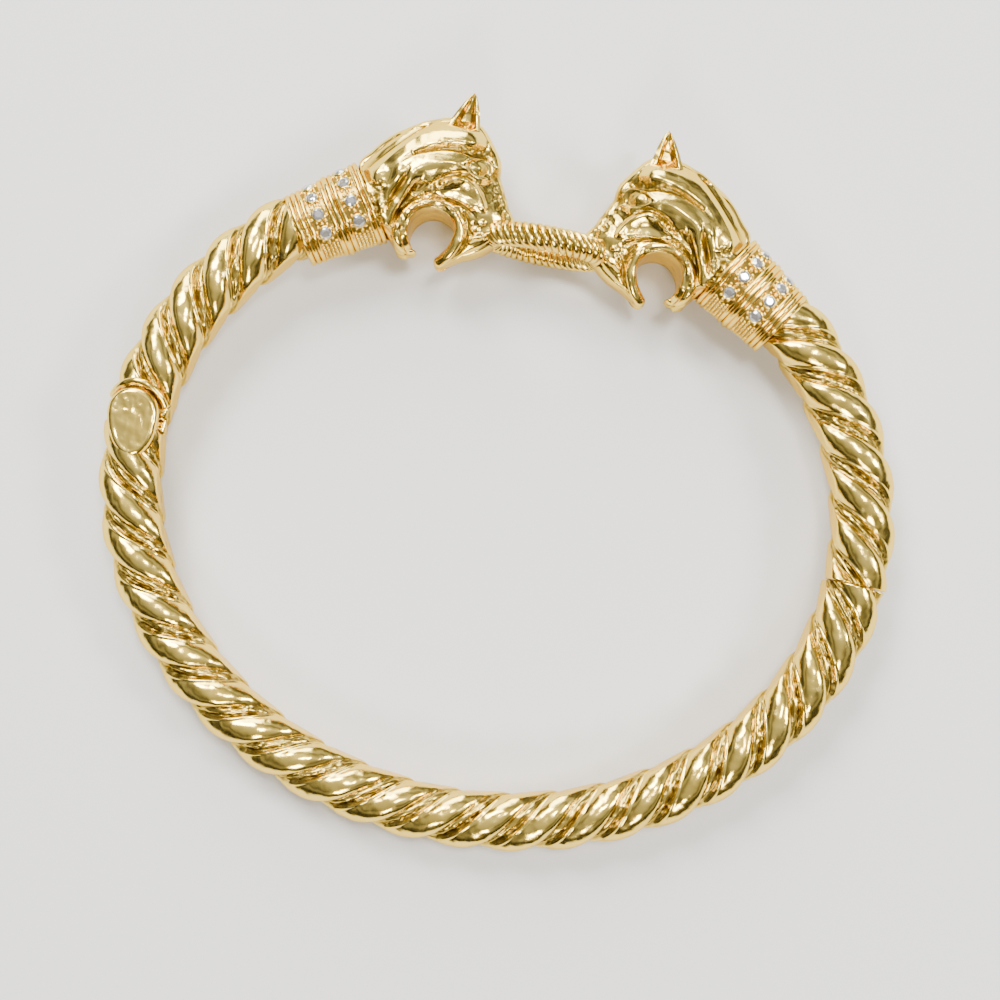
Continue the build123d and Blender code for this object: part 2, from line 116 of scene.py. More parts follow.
@dataclass(frozen=True)
class Oval:
    """The rope's centre line, in millimetres of the flat bangle."""

    half_width: float = 32.6
    half_depth: float = 28.2

    def point(self, angle: np.ndarray) -> np.ndarray:
        """Points at angles in degrees."""
        a = np.radians(angle)
        return np.stack([self.half_width * np.cos(a), self.half_depth * np.sin(a), 0 * a], axis=-1)

    def outward(self, angle: np.ndarray) -> np.ndarray:
        """Unit vectors out of the oval.

        Args:
            angle: Angles in degrees.

        Returns:
            One vector for each angle.
        """
        a = np.radians(angle)
        n = np.stack([np.cos(a) / self.half_width, np.sin(a) / self.half_depth, 0 * a], axis=-1)
        return n / np.linalg.norm(n, axis=-1, keepdims=True)

    def stations(self, first: float, last: float, step: float) -> tuple[np.ndarray, np.ndarray]:
        """Angles evenly spaced along the line.

        Args:
            first: Angle of the first point, in degrees.
            last: Angle of the last point, in degrees.
            step: Distance between points, in millimetres.

        Returns:
            The angles, and their distances from the first.
        """
        fine = np.linspace(first, last, FINE_STEPS)
        lengths = lengths_along(self.point(fine))
        wanted = np.linspace(0.0, lengths[-1], int(lengths[-1] / step) + 1)
        return np.interp(wanted, lengths, fine), wanted


LIE = Lie()
OVAL = Oval()


class NodeWork:
    """A node tree and the call that adds nodes to it."""

    def __init__(self, tree: bpy.types.NodeTree) -> None:
        """Keeps the tree."""
        self.tree = tree

    def node(self, kind: str, inputs: dict | None = None, **settings: object) -> bpy.types.Node:
        """Adds a node.

        Args:
            kind: The node's type name.
            inputs: Socket name or number to a value or to a socket to link from.
            settings: Properties to set on the node.

        Returns:
            The node.
        """
        made = self.tree.nodes.new(kind)
        for key, value in settings.items():
            setattr(made, key, value)
        for key, value in (inputs or {}).items():
            if isinstance(value, bpy.types.NodeSocket):
                self.tree.links.new(value, made.inputs[key])
            else:
                made.inputs[key].default_value = value
        return made


class Surface(NodeWork):
    """A material's nodes round its shader."""

    def __init__(self, name: str) -> None:
        """Starts a material with a plain shader.

        Args:
            name: The material's name.
        """
        self.material = bpy.data.materials.new(name)
        self.material.use_nodes = True
        super().__init__(self.material.node_tree)
        self.shader = self.tree.nodes["Principled BSDF"]

    def dress(self, inputs: dict[str, object]) -> None:
        """Sets or links the shader's sockets.

        Args:
            inputs: Socket name to a value or to a socket to link from.
        """
        for key, value in inputs.items():
            if isinstance(value, bpy.types.NodeSocket):
                self.tree.links.new(value, self.shader.inputs[key])
            else:
                self.shader.inputs[key].default_value = value

    def noise(self, scale: float, detail: float, roughness: float = 0.5) -> bpy.types.NodeSocket:
        """Noise that stays with the piece.

        Args:
            scale: How many waves there are in a metre.
            detail: How many finer layers are on it.
            roughness: How strong those layers are.

        Returns:
            The noise, round 0.5.
        """
        place = self.node("ShaderNodeTexCoord").outputs["Object"]
        inputs = {"Vector": place, "Scale": scale, "Detail": detail, "Roughness": roughness}
        return self.node("ShaderNodeTexNoise", inputs).outputs["Fac"]

    def mixed(self, share: bpy.types.NodeSocket, low: object, high: object) -> bpy.types.NodeSocket:
        """A colour between two.

        Args:
            share: How much there is of the second.
            low: The first, as a colour or a socket.
            high: The second, as a colour.

        Returns:
            The mixed colour.
        """
        first = low if isinstance(low, bpy.types.NodeSocket) else (*low, 1.0)
        inputs = {"Factor": share, "A": first, "B": (*high, 1.0)}
        return self.node("ShaderNodeMix", inputs, data_type="RGBA").outputs["Result"]

    def bumped(
        self, height: bpy.types.NodeSocket, strength: float, depth: float, **under: object
    ) -> bpy.types.NodeSocket:
        """A surface direction with bumps of a depth in metres, over the one given as Normal."""
        inputs = {"Strength": strength, "Distance": depth, "Height": height, **under}
        return self.node("ShaderNodeBump", inputs).outputs["Normal"]


@dataclass(frozen=True)
class GoldFinish:
    """Polished yellow gold, with painted shade in dark brown where it is recessed.

    Sizes and depths are in millimetres, and waves are counted over a metre.
    """

    name: str
    shine: tuple[float, float, float] = (0.95, 0.64, 0.10)
    pale: tuple[float, float, float] = (1.0, 0.76, 0.20)
    # deep and deep_edge are painted shade: the colour and edge tint that stand in for shade in recesses
    deep: tuple[float, float, float] = (0.105, 0.055, 0.004)
    edge: tuple[float, float, float] = (1.0, 0.84, 0.45)
    deep_edge: tuple[float, float, float] = (0.22, 0.13, 0.02)
    cloud_waves: float = 420.0
    wear_waves: float = 1500.0
    roughness: float = 0.15
    worn: tuple[float, float] = (0.6, 1.7)
    deep_roughness: float = 0.34
    pits: float = 0.20
    pit_size: float = 0.6
    pit_depth: float = 0.08
    dents: float = 0.42
    dent_size: float = 1.5
    dent_depth: float = 0.4

    def build(self) -> bpy.types.Material:
        """Makes the material.

        Returns:
            The material, which reads how much painted shade a piece has from a point attribute.
        """
        s = Surface(self.name)
        recess = s.node("ShaderNodeAttribute", attribute_name="recess").outputs["Fac"]
        tone = s.mixed(s.noise(self.cloud_waves, 3.0), self.shine, self.pale)
        wear = s.noise(self.wear_waves, 5.0)
        least, most = self.worn
        rubbed = {"Value": wear, "To Min": self.roughness * least, "To Max": self.roughness * most}
        rough = s.node("ShaderNodeMapRange", rubbed).outputs["Result"]
        dull = s.node("ShaderNodeMix", {"Factor": recess, "A": rough, "B": self.deep_roughness})
        pits = s.bumped(s.noise(1000.0 / self.pit_size, 4.0, 0.6), self.pits, self.pit_depth * MM)
        dents = s.noise(1000.0 / self.dent_size, 1.0)
        # Base colour and edge tint darken with the painted shade in recesses
        s.dress({
            "Metallic": 1.0,
            "Base Color": s.mixed(recess, tone, self.deep),
            "Specular Tint": s.mixed(recess, self.edge, self.deep_edge),
            "Roughness": dull.outputs["Result"],
            "Normal": s.bumped(dents, self.dents, self.dent_depth * MM, Normal=pits),
        })
        return s.material


@dataclass(frozen=True)
class GemFinish:
    """Clear cut stone with a faint cloud in it, whose waves are counted over a metre."""

    name: str
    tint: tuple[float, float, float] = (0.97, 0.98, 1.0)
    cloud: tuple[float, float, float] = (0.86, 0.88, 0.92)
    cloud_waves: float = 1900.0
    roughness: float = 0.01
    bending: float = 2.4
    mirror: float = 0.35
    clearness: float = 0.75

    def build(self) -> bpy.types.Material:
        """Makes the material.

        Returns:
            The material.
        """
        s = Surface(self.name)
        s.dress({
            "Roughness": self.roughness,
            "IOR": self.bending,
            "Metallic": self.mirror,
            "Transmission Weight": self.clearness,
            "Base Color": s.mixed(s.noise(self.cloud_waves, 2.0), self.tint, self.cloud),
        })
        return s.material


@dataclass(frozen=True)
class FloorFinish:
    """Plain pale floor."""

    name: str
    color: tuple[float, float, float] = (0.74, 0.73, 0.71)
    roughness: float = 0.9

    def build(self) -> bpy.types.Material:
        """Makes the material.

        Returns:
            The material.
        """
        s = Surface(self.name)
        s.dress({"Base Color": (*self.color, 1.0), "Roughness": self.roughness})
        return s.material


class Growth(NodeWork):
    """A small Geometry Nodes tree and the calls that build it."""

    def __init__(self, name: str) -> None:
        """Starts a tree with a geometry input and output.

        Args:
            name: The tree's name.
        """
        super().__init__(bpy.data.node_groups.new(name, "GeometryNodeTree"))
        self.tree.interface.new_socket("Geometry", in_out="OUTPUT", socket_type="NodeSocketGeometry")
        self.sockets: dict[str, str] = {}
        self.take("Geometry", "NodeSocketGeometry")
        self.start = self.tree.nodes.new("NodeGroupInput")

    def take(self, name: str, kind: str) -> None:
        """Adds a named input of a socket type."""
        socket = self.tree.interface.new_socket(name, in_out="INPUT", socket_type=kind)
        self.sockets[name] = socket.identifier

    def entry(self, name: str) -> bpy.types.NodeSocket:
        """The tree's named input as a socket to link from."""
        return self.start.outputs[name]

    def math(self, operation: str, a: object, b: object = 0.0) -> bpy.types.NodeSocket:
        """A float operation on two values or sockets."""
        return self.node("ShaderNodeMath", {0: a, 1: b}, operation=operation).outputs[0]

    def vector(self, operation: str, a: object, b: object) -> bpy.types.NodeSocket:
        """A vector operation on two values or sockets."""
        return self.node("ShaderNodeVectorMath", {0: a, 1: b}, operation=operation).outputs[0]

    def scaled(self, a: object, size: object) -> bpy.types.NodeSocket:
        """A vector times a number."""
        return self.node("ShaderNodeVectorMath", {0: a, "Scale": size}, operation="SCALE").outputs[0]

    def named(self, name: str, kind: str = "FLOAT") -> bpy.types.NodeSocket:
        """A named attribute of the geometry."""
        made = self.node("GeometryNodeInputNamedAttribute", {"Name": name}, data_type=kind)
        return made.outputs["Attribute"]

    def store(self, geometry: object, name: str, value: object, kind: str = "FLOAT") -> bpy.types.NodeSocket:
        """Stores a point attribute.

        Args:
            geometry: What to store it on.
            name: The attribute's name.
            value: Its value, or a socket.
            kind: Its data type.

        Returns:
            The geometry.
        """
        made = self.node(
            "GeometryNodeStoreNamedAttribute",
            {"Geometry": geometry, "Name": name, "Value": value},
            data_type=kind,
            domain="POINT",
        )
        return made.outputs["Geometry"]

    def curve(self, value: object, points: Curve) -> bpy.types.NodeSocket:
        """A value mapped through a drawn curve.

        Args:
            value: The value, from 0 to 1.
            points: The curve's points, in order.

        Returns:
            The curve's height at the value.
        """
        made = self.node("ShaderNodeFloatCurve", {"Value": value})
        line = made.mapping.curves[0]
        line.points[0].location = points[0]
        line.points[1].location = points[-1]
        for x, y in points[1:-1]:
            line.points.new(x, y)
        made.mapping.update()
        return made.outputs["Value"]

    def end(self, geometry: object) -> None:
        """Links the geometry to the output."""
        self.node("NodeGroupOutput", {"Geometry": geometry})

    def grow(self, name: str, mesh: bpy.types.Mesh, values: dict[str, object]) -> bpy.types.Object:
        """Runs the tree on a mesh and keeps the result as plain mesh.

        Args:
            name: The new object's name.
            mesh: The geometry that goes in.
            values: Named inputs to their values.

        Returns:
            An object with the grown mesh.
        """
        source = bpy.data.objects.new(name + "_source", mesh)
        bpy.context.scene.collection.objects.link(source)
        modifier = source.modifiers.new("growth", "NODES")
        modifier.node_group = self.tree
        for key, value in values.items():
            modifier[self.sockets[key]] = value
        bpy.context.view_layer.update()
        graph = bpy.context.evaluated_depsgraph_get()
        grown = bpy.data.meshes.new_from_object(source.evaluated_get(graph), depsgraph=graph)
        bpy.data.objects.remove(source)
        grown.name = name
        made = bpy.data.objects.new(name, grown)
        bpy.context.scene.collection.objects.link(made)
        return made


@dataclass(frozen=True)
class Grit:
    """Grain in the recesses of a rope, whose waves are counted over a metre, and the painted shade in its
    pits.
    """

    waves: float = 2300.0
    shade: float = 2.0
    shade_by_height: float = 2.4


GRIT = Grit()


def rope_growth(name: str, profile: Curve, shades: Curve) -> Growth:
    """A tube of twisted strands along a path of points with outward, size and along.

    Args:
        name: The tree's name.
        profile: Radius share across one strand, as points from 0 to 1.
        shades: Painted shade across one strand, darkest in its valleys, in the same way.

    Returns:
        The tree, with inputs Strands, Around, Lead, Wall, Grain, Up and Material.
    """
    g = Growth(name)
    for size in ("Strands", "Lead", "Wall", "Grain"):
        g.take(size, "NodeSocketFloat")
    g.take("Around", "NodeSocketInt")
    g.take("Up", "NodeSocketVector")
    g.take("Material", "NodeSocketMaterial")
    line = g.node("GeometryNodeMeshToCurve", {"Mesh": g.entry("Geometry")}).outputs["Curve"]
    line = g.store(line, "centre", g.node("GeometryNodeInputPosition").outputs[0], "FLOAT_VECTOR")
    circle = g.node("GeometryNodeCurvePrimitiveCircle", {"Resolution": g.entry("Around"), "Radius": MM})
    turn = g.node("GeometryNodeSplineParameter").outputs["Factor"]
    circle = g.store(circle.outputs["Curve"], "turn", turn)
    tube = g.node("GeometryNodeCurveToMesh", {"Curve": line, "Profile Curve": circle, "Fill Caps": True})
    across = g.math("FRACT", g.math("MULTIPLY", g.named("turn"), g.entry("Strands")))
    lead_turns = g.math("DIVIDE", g.named("along"), g.entry("Lead"))
    angle = g.math("MULTIPLY", g.math("SUBTRACT", lead_turns, g.named("turn")), FULL_TURN)
    outward, up = g.named("outward", "FLOAT_VECTOR"), g.entry("Up")
    spoke = g.vector("ADD", g.scaled(outward, g.math("COSINE", angle)), g.scaled(up, g.math("SINE", angle)))
    bare = g.vector("ADD", g.named("centre", "FLOAT_VECTOR"), g.scaled(spoke, g.named("size")))
    noise = g.node("ShaderNodeTexNoise", {"Vector": bare, "Scale": GRIT.waves, "Detail": 1.0}).outputs[0]
    shade = g.curve(across, shades)
    rough = g.math("MULTIPLY", g.math("MULTIPLY", g.math("SUBTRACT", noise, 0.5), g.entry("Grain")), shade)
    share = g.math("ADD", g.curve(across, profile), rough)
    reach = g.math("MULTIPLY", g.named("size"), share)
    wall = g.math("MULTIPLY", g.math("MULTIPLY", g.named("size"), g.entry("Wall")), -1.0)
    out = g.math("MAXIMUM", g.math("MULTIPLY", reach, g.math("COSINE", angle)), wall)
    rise = g.math("MULTIPLY", reach, g.math("SINE", angle))
    moved = g.vector("ADD", g.scaled(outward, out), g.scaled(up, rise))
    moved = g.vector("ADD", g.named("centre", "FLOAT_VECTOR"), moved)
    # Painted shade in the valleys, darker in the grain's pits
    low = g.math("SUBTRACT", GRIT.shade, g.math("MULTIPLY", noise, GRIT.shade_by_height))
    dark = g.math("MULTIPLY", shade, low)
    shape = g.store(tube.outputs["Mesh"], "recess", dark)
    shape = g.node("GeometryNodeSetPosition", {"Geometry": shape, "Position": moved}).outputs["Geometry"]
    shape = g.node("GeometryNodeRealizeInstances", {"Geometry": shape}).outputs["Geometry"]
    shape = g.node("GeometryNodeSetMaterial", {"Geometry": shape, "Material": g.entry("Material")})
    g.end(shape.outputs["Geometry"])
    return g


def setting_growth(name: str) -> Growth:
    """Copies of one piece on points with normal, spin and size attributes.

    Args:
        name: The tree's name.

    Returns:
        The tree, with inputs Piece and Material.
    """
    g = Growth(name)
    g.take("Piece", "NodeSocketObject")
    g.take("Material", "NodeSocketMaterial")
    piece = g.node("GeometryNodeObjectInfo", {"Object": g.entry("Piece")})
    normal = g.named("normal", "FLOAT_VECTOR")
    upright = g.node("FunctionNodeAlignRotationToVector", {"Vector": normal}, axis="Z")
    spin = g.node("FunctionNodeAxisAngleToRotation", {"Axis": (0, 0, 1), "Angle": g.named("spin")})
    turned = g.node(
        "FunctionNodeRotateRotation",
        {"Rotation": upright.outputs[0], "Rotate By": spin.outputs[0]},
        rotation_space="LOCAL",
    )
    copies = g.node(
        "GeometryNodeInstanceOnPoints",
        {
            "Points": g.entry("Geometry"),
            "Instance": piece.outputs["Geometry"],
            "Rotation": turned.outputs[0],
            "Scale": g.named("size"),
        },
    )
    real = g.node("GeometryNodeRealizeInstances", {"Geometry": copies.outputs["Instances"]})
    dressed = g.node(
        "GeometryNodeSetMaterial", {"Geometry": real.outputs["Geometry"], "Material": g.entry("Material")}
    )
    g.end(dressed.outputs["Geometry"])
    return g


def mesh_of(name: str, points: np.ndarray, faces: list, **attributes: np.ndarray) -> bpy.types.Mesh:
    """A mesh from row points in metres.

    Args:
        name: The mesh's name.
        points: Its vertices.
        faces: Its faces as lists of vertex numbers. Pairs of numbers make edges.
        attributes: Point attributes, one number or one vector for each vertex.

    Returns:
        The mesh.
    """
    mesh = bpy.data.meshes.new(name)
    pairs = [f for f in faces if len(f) == 2]
    mesh.from_pydata(np.asarray(points).tolist(), pairs, [f for f in faces if len(f) > 2])
    for key, values in attributes.items():
        values = np.asarray(values, float)
        is_vector = values.ndim == 2
        kind = "FLOAT_VECTOR" if is_vector else "FLOAT"
        layer = mesh.attributes.new(key, kind, "POINT")
        layer.data.foreach_set("vector" if is_vector else "value", values.ravel())
    mesh.update()
    return mesh


def placed(name: str, mesh: bpy.types.Mesh, material: bpy.types.Material) -> bpy.types.Object:
    """Puts a mesh in the scene.

    Args:
        name: Name of the piece.
        mesh: Its mesh.
        material: Its finish.

    Returns:
        The piece.
    """
    mesh.materials.clear()
    mesh.materials.append(material)
    made = bpy.data.objects.new(name, mesh)
    bpy.context.scene.collection.objects.link(made)
    return made


def settle(piece: bpy.types.Object, crease: Crease) -> None:
    """Turns normals outward, shades smooth and keeps creases sharp.

    Args:
        piece: The closed piece.
        crease: Which of its edges stay sharp.
    """
    shape = bmesh.new()
    shape.from_mesh(piece.data)
    bmesh.ops.recalc_face_normals(shape, faces=shape.faces)
    shape.to_mesh(piece.data)
    shape.free()
    piece.data.shade_smooth()
    piece.data.set_sharp_from_angle(angle=math.radians(crease.value))


def trimmed(piece: bpy.types.Object, point: np.ndarray, normal: np.ndarray) -> None:
    """Cuts off and caps what lies past a plane.

    Args:
        piece: The closed piece to trim.
        point: A point of the plane, in row metres.
        normal: Direction in which the piece is cut off.
    """
    shape = bmesh.new()
    shape.from_mesh(piece.data)
    cut = bmesh.ops.bisect_plane(
        shape,
        geom=shape.verts[:] + shape.edges[:] + shape.faces[:],
        plane_co=Vector(point),
        plane_no=Vector(normal),
        clear_outer=True,
    )
    rim = [e for e in cut["geom_cut"] if isinstance(e, bmesh.types.BMEdge)]
    bmesh.ops.edgeloop_fill(shape, edges=rim)
    shape.to_mesh(piece.data)
    shape.free()


def carved(piece: bpy.types.Object, cutter: bpy.types.Mesh) -> None:
    """Takes a cutter's volume out of a piece.

    Args:
        piece: The closed piece.
        cutter: The closed mesh to cut with.
    """
    tool = bpy.data.objects.new("cutter", cutter)
    bpy.context.scene.collection.objects.link(tool)
    modifier = piece.modifiers.new("carve", "BOOLEAN")
    modifier.operation = "DIFFERENCE"
    modifier.solver = "EXACT"
    modifier.object = tool
    bpy.context.view_layer.update()
    graph = bpy.context.evaluated_depsgraph_get()
    result = bpy.data.meshes.new_from_object(piece.evaluated_get(graph), depsgraph=graph)
    piece.modifiers.clear()
    piece.data = result
    bpy.data.objects.remove(tool)


def joined(name: str, pieces: list[bpy.types.Object]) -> bpy.types.Object:
    """Makes one piece of several.

    Args:
        name: Name of the new piece.
        pieces: The pieces, which go. The first one's material stays.

    Returns:
        The new piece.
    """
    shape = bmesh.new()
    for piece in pieces:
        shape.from_mesh(piece.data)
    mesh = bpy.data.meshes.new(name)
    shape.to_mesh(mesh)
    shape.free()
    material = pieces[0].data.materials[0]
    for piece in pieces:
        bpy.data.objects.remove(piece)
    made = placed(name, mesh, material)
    made.data.shade_smooth()
    return made


def merge_close(piece: bpy.types.Object) -> None:
    """Merges vertices that lie on one another.

    Args:
        piece: The piece to mend.
    """
    shape = bmesh.new()
    shape.from_mesh(piece.data)
    bmesh.ops.remove_doubles(shape, verts=shape.verts, dist=1e-7)
    bmesh.ops.dissolve_degenerate(shape, edges=shape.edges, dist=1e-8)
    shape.to_mesh(piece.data)
    shape.free()


def ring_faces(rings: int, around: int, closed: bool = False) -> list[list[int]]:
    """Faces between the rings of a tube.

    Args:
        rings: How many rings its vertices lie on.
        around: Vertices of each ring.
        closed: Whether the last ring joins the first.

    Returns:
        The faces as lists of vertex numbers.
    """
    faces = []
    for k in range(rings if closed else rings - 1):
        near, far = k * around, (k + 1) % rings * around
        for i in range(around):
            j = (i + 1) % around
            faces.append([near + i, near + j, far + j, far + i])
    return faces


def prism(corners: list[tuple[float, float]], low: float, high: float) -> bpy.types.Mesh:
    """Closed upright prism whose outline is seen whole from its first corner.

    Args:
        corners: Outline in millimetres of the flat bangle, counter-clockwise.
        low: Height of its foot.
        high: Height of its top.

    Returns:
        The prism as a mesh.
    """
    n = len(corners)
    points = [(x, y, low) for x, y in corners] + [(x, y, high) for x, y in corners]
    faces = []
    for i in range(1, n - 1):
        faces.append([0, i + 1, i])
        faces.append([n, n + i, n + i + 1])
    for i in range(n):
        j = (i + 1) % n
        faces.append([i, j, n + j, n + i])
    return mesh_of("prism", LIE.row(np.array(points)), faces)


SPECKLE_SEED = 11
SPECKLE_CELLS = 64


def speckle(spots: np.ndarray, size: float) -> np.ndarray:
    """Smooth random heights from -1 to 1.

    Args:
        spots: Places to find heights at.
        size: Distance between peaks.

    Returns:
        One height for each spot, always the same for the same spot.
    """
    values = np.random.default_rng(SPECKLE_SEED).uniform(-1, 1, (SPECKLE_CELLS, SPECKLE_CELLS))
    place = spots / size
    cell = np.floor(place).astype(int)
    t = eased(place - cell)
    x, y = cell[:, 0] % SPECKLE_CELLS, cell[:, 1] % SPECKLE_CELLS
    right, up = (x + 1) % SPECKLE_CELLS, (y + 1) % SPECKLE_CELLS
    low = values[x, y] * (1 - t[:, 0]) + values[right, y] * t[:, 0]
    high = values[x, up] * (1 - t[:, 0]) + values[right, up] * t[:, 0]
    return low * (1 - t[:, 1]) + high * t[:, 1]


# Millimetres: the radius past which a turned shape is drawn out, and the distance between its dips
DRAWN_FROM = 1.0
PIT_SIZE = 0.32


def lathe(
    profile: list[tuple[float, float]],
    centre: tuple[float, float],
    around: int = 72,
    run: tuple[float, float] = (0.0, 0.0),
    pitting: float = 0.0,
) -> bpy.types.Mesh:
    """Closed turned shape about an upright axis.

    Args:
        profile: Radius and height of each ring, in millimetres, round a closed loop.
        centre: Place of the axis in the flat bangle.
        around: Points round the axis.
        run: Way that the shape is drawn out to one side, where its radius is over DRAWN_FROM.
        pitting: Depth of small dips in its highest face.

    Returns:
        The shape as a mesh.
    """
    places = []
    for radius, height in profile:
        for i in range(around):
            a = FULL_TURN * i / around
            drawn = max(0.0, math.cos(a) * run[0] + math.sin(a) * run[1]) / max(math.hypot(*run), 1e-9)
            x, y = centre
            if radius > DRAWN_FROM:
                x, y = x + run[0] * drawn, y + run[1] * drawn
            places.append((x + radius * math.cos(a), y + radius * math.sin(a), height))
    points = np.array(places)
    if pitting:
        top = np.abs(points[:, 2]) > np.abs(points[:, 2]).max() - 1e-6
        dips = pitting * (1 + speckle(points[top, :2], PIT_SIZE)) / 2
        points[top, 2] -= np.sign(points[top, 2]) * dips
    mesh = mesh_of("lathe", LIE.row(points), ring_faces(len(profile), around, closed=True))
    shape = bmesh.new()
    shape.from_mesh(mesh)
    bmesh.ops.remove_doubles(shape, verts=shape.verts, dist=1e-7)
    bmesh.ops.recalc_face_normals(shape, faces=shape.faces)
    shape.to_mesh(mesh)
    shape.free()
    return mesh


# Share of its size that a rounded end still has at its tip
CAP_END = 0.02


def wire(name: str, line: np.ndarray, radius: float, material: bpy.types.Material) -> bpy.types.Object:
    """A round wire with rounded ends.

    Args:
        name: Name of the piece.
        line: Its centre line in millimetres of the flat bangle.
        radius: Its radius in millimetres.
        material: Its finish.

    Returns:
        The finished piece.
    """
    along = np.gradient(line, axis=0)
    along /= np.linalg.norm(along, axis=1, keepdims=True)
    caps = 5
    ends = np.linspace(0, math.pi / 2, caps + 1)[1:]
    first = [line[0] - along[0] * radius * math.sin(e) for e in ends[::-1]]
    last = [line[-1] + along[-1] * radius * math.sin(e) for e in ends]
    line = np.concatenate([first, line, last])
    along = np.concatenate([np.repeat(along[:1], caps, axis=0), along, np.repeat(along[-1:], caps, axis=0)])
    size = np.full(len(line), radius)
    size[:caps] = radius * (CAP_END + (1 - CAP_END) * np.cos(ends[::-1]))
    size[-caps:] = radius * (CAP_END + (1 - CAP_END) * np.cos(ends))
    aside = np.cross(along, UP)
    aside /= np.linalg.norm(aside, axis=1, keepdims=True)
    over = np.cross(aside, along)
    around = 20
    turn = np.arange(around) * FULL_TURN / around
    spoke = aside[:, None] * np.cos(turn)[None, :, None] + over[:, None] * np.sin(turn)[None, :, None]
    points = (line[:, None] + spoke * size[:, None, None]).reshape(-1, 3)
    faces = [list(range(around))[::-1], [(len(line) - 1) * around + i for i in range(around)]]
    faces += ring_faces(len(line), around)
    made = placed(name, mesh_of(name, LIE.row(points), faces), material)
    settle(made, Crease.ROUNDED)
    return made


@dataclass
class Hinge:
    """The upright hinge on the left, in millimetres and degrees.

    Its two ears belong to the back rope and its knuckle and lips to the left arm.
    """

    centre: tuple[float, float] = (-32.8634, 1.34473)
    radius: float = 2.25
    ear_top: float = 3.055
    ear_foot: float = 1.1
    knuckle: float = 0.95
    gap: float = 0.15
    bore: float = 0.56
    cover: float = 0.6
    soft: float = 0.6
    soft_points: int = 8
    flat_points: int = 12
    pitting: float = 0.08
    knuckle_play: float = 0.04
    knuckle_soft: float = 0.15
    front_edge: float = 155.0
    back_edges: tuple[float, float] = (-28.82, 203.82)
    widest_side: float = 40.0
    reach: float = 6.75
    run: tuple[float, float] = (0.25, -1.75)
    skin_edges: tuple[float, float] = (-32.0, 24.0)
    lip: float = 0.30
    lip_span: tuple[float, float] = (152.0, 24.0)
    lip_play: float = 0.02
    lip_points: int = 60
    lip_least: float = 0.2
    arm_radius: float = 2.80

    def wedge(self, start: float, end: float, reach: float) -> list[tuple[float, float]]:
        """Corners of a wedge that starts at the pin.

        Args:
            start: Direction of its first side, in degrees.
            end: Direction of its last side.
            reach: How far it goes, at least.

        Returns:
            The pin's place, and the corners round the far side.
        """
        steps = max(1, round((end - start) / self.widest_side))
        turn = math.radians(end - start) / steps
        stretch = reach / math.cos(turn / 2)
        x, y = self.centre
        rim = [math.radians(start) + turn * i for i in range(steps + 1)]
        return [(x, y)] + [(x + stretch * math.cos(a), y + stretch * math.sin(a)) for a in rim]

    def disc(self, low: float, high: float, radius: float) -> bpy.types.Mesh:
        """A plain round of space about the pin, used to cut."""
        return lathe([(0, low), (radius, low), (radius, high), (0, high)], self.centre)

    def ears(self, material: bpy.types.Material) -> list[bpy.types.Object]:
        """The two outer rounds, soft at the outer edge, with the pin's bore.

        Args:
            material: Their finish.

        Returns:
            The ear above and the ear below.
        """
        inward = self.radius - self.soft
        bends = np.linspace(0, math.pi / 2, self.soft_points)
        under_top = self.ear_top - self.soft
        curve = [(inward + self.soft * math.cos(t), under_top + self.soft * math.sin(t)) for t in bends]
        flat = [(r, self.ear_top) for r in np.linspace(inward, 0, self.flat_points)[1:]]
        top = [(self.bore, self.ear_foot), (self.radius, self.ear_foot), *curve, *flat]
        top += [(0, self.ear_top - self.cover), (self.bore, self.ear_top - self.cover)]
        under = [(r, -h) for r, h in [(self.bore, self.ear_foot), (self.radius, self.ear_foot), *curve]]
        under += [(self.bore, -self.ear_top)]
        above = lathe(top, self.centre, run=self.run, pitting=self.pitting)
        below = lathe(under, self.centre, run=self.run)
        return [placed("ear_above", above, material), placed("ear_below", below, material)]

    def lips(self, material: bpy.types.Material) -> list[bpy.types.Object]:
        """The smooth lips of the arm beside the ears.

        Args:
            material: Their finish.

        Returns:
            The lip above and the lip below.
        """
        turn = np.radians(np.linspace(*self.lip_span, self.lip_points))
        away = self.radius + self.gap + self.lip + self.lip_play
        x = self.centre[0] + away * np.cos(turn)
        y = self.centre[1] + away * np.sin(turn)
        aside = np.abs(np.abs(x) - OVAL.half_width)
        z = np.sqrt(np.maximum(self.arm_radius ** 2 - aside ** 2, self.lip_least))
        lines = {"lip_above": np.stack([x, y, z], axis=1), "lip_below": np.stack([x, y, -z], axis=1)}
        return [wire(name, line, self.lip, material) for name, line in lines.items()]

    def middle(self, material: bpy.types.Material) -> bpy.types.Object:
        """The knuckle between the ears.

        Args:
            material: Its finish.

        Returns:
            The knuckle.
        """
        bore = self.bore + self.knuckle_play
        near, top = self.radius - self.knuckle_soft, self.knuckle
        side = self.knuckle - self.knuckle_soft
        loop = [(bore, -top), (near, -top), (self.radius, -side)]
        loop += [(self.radius, side), (near, top), (bore, top)]
        return placed("knuckle", lathe(loop, self.centre), material)


@dataclass(frozen=True)
class Twist:
    """Length of one full turn, and the first notch from the left collar, in millimetres."""

    lead: float
    notch: float


# Height in millimetres that is past the rope
PAST_ROPE = 5.0


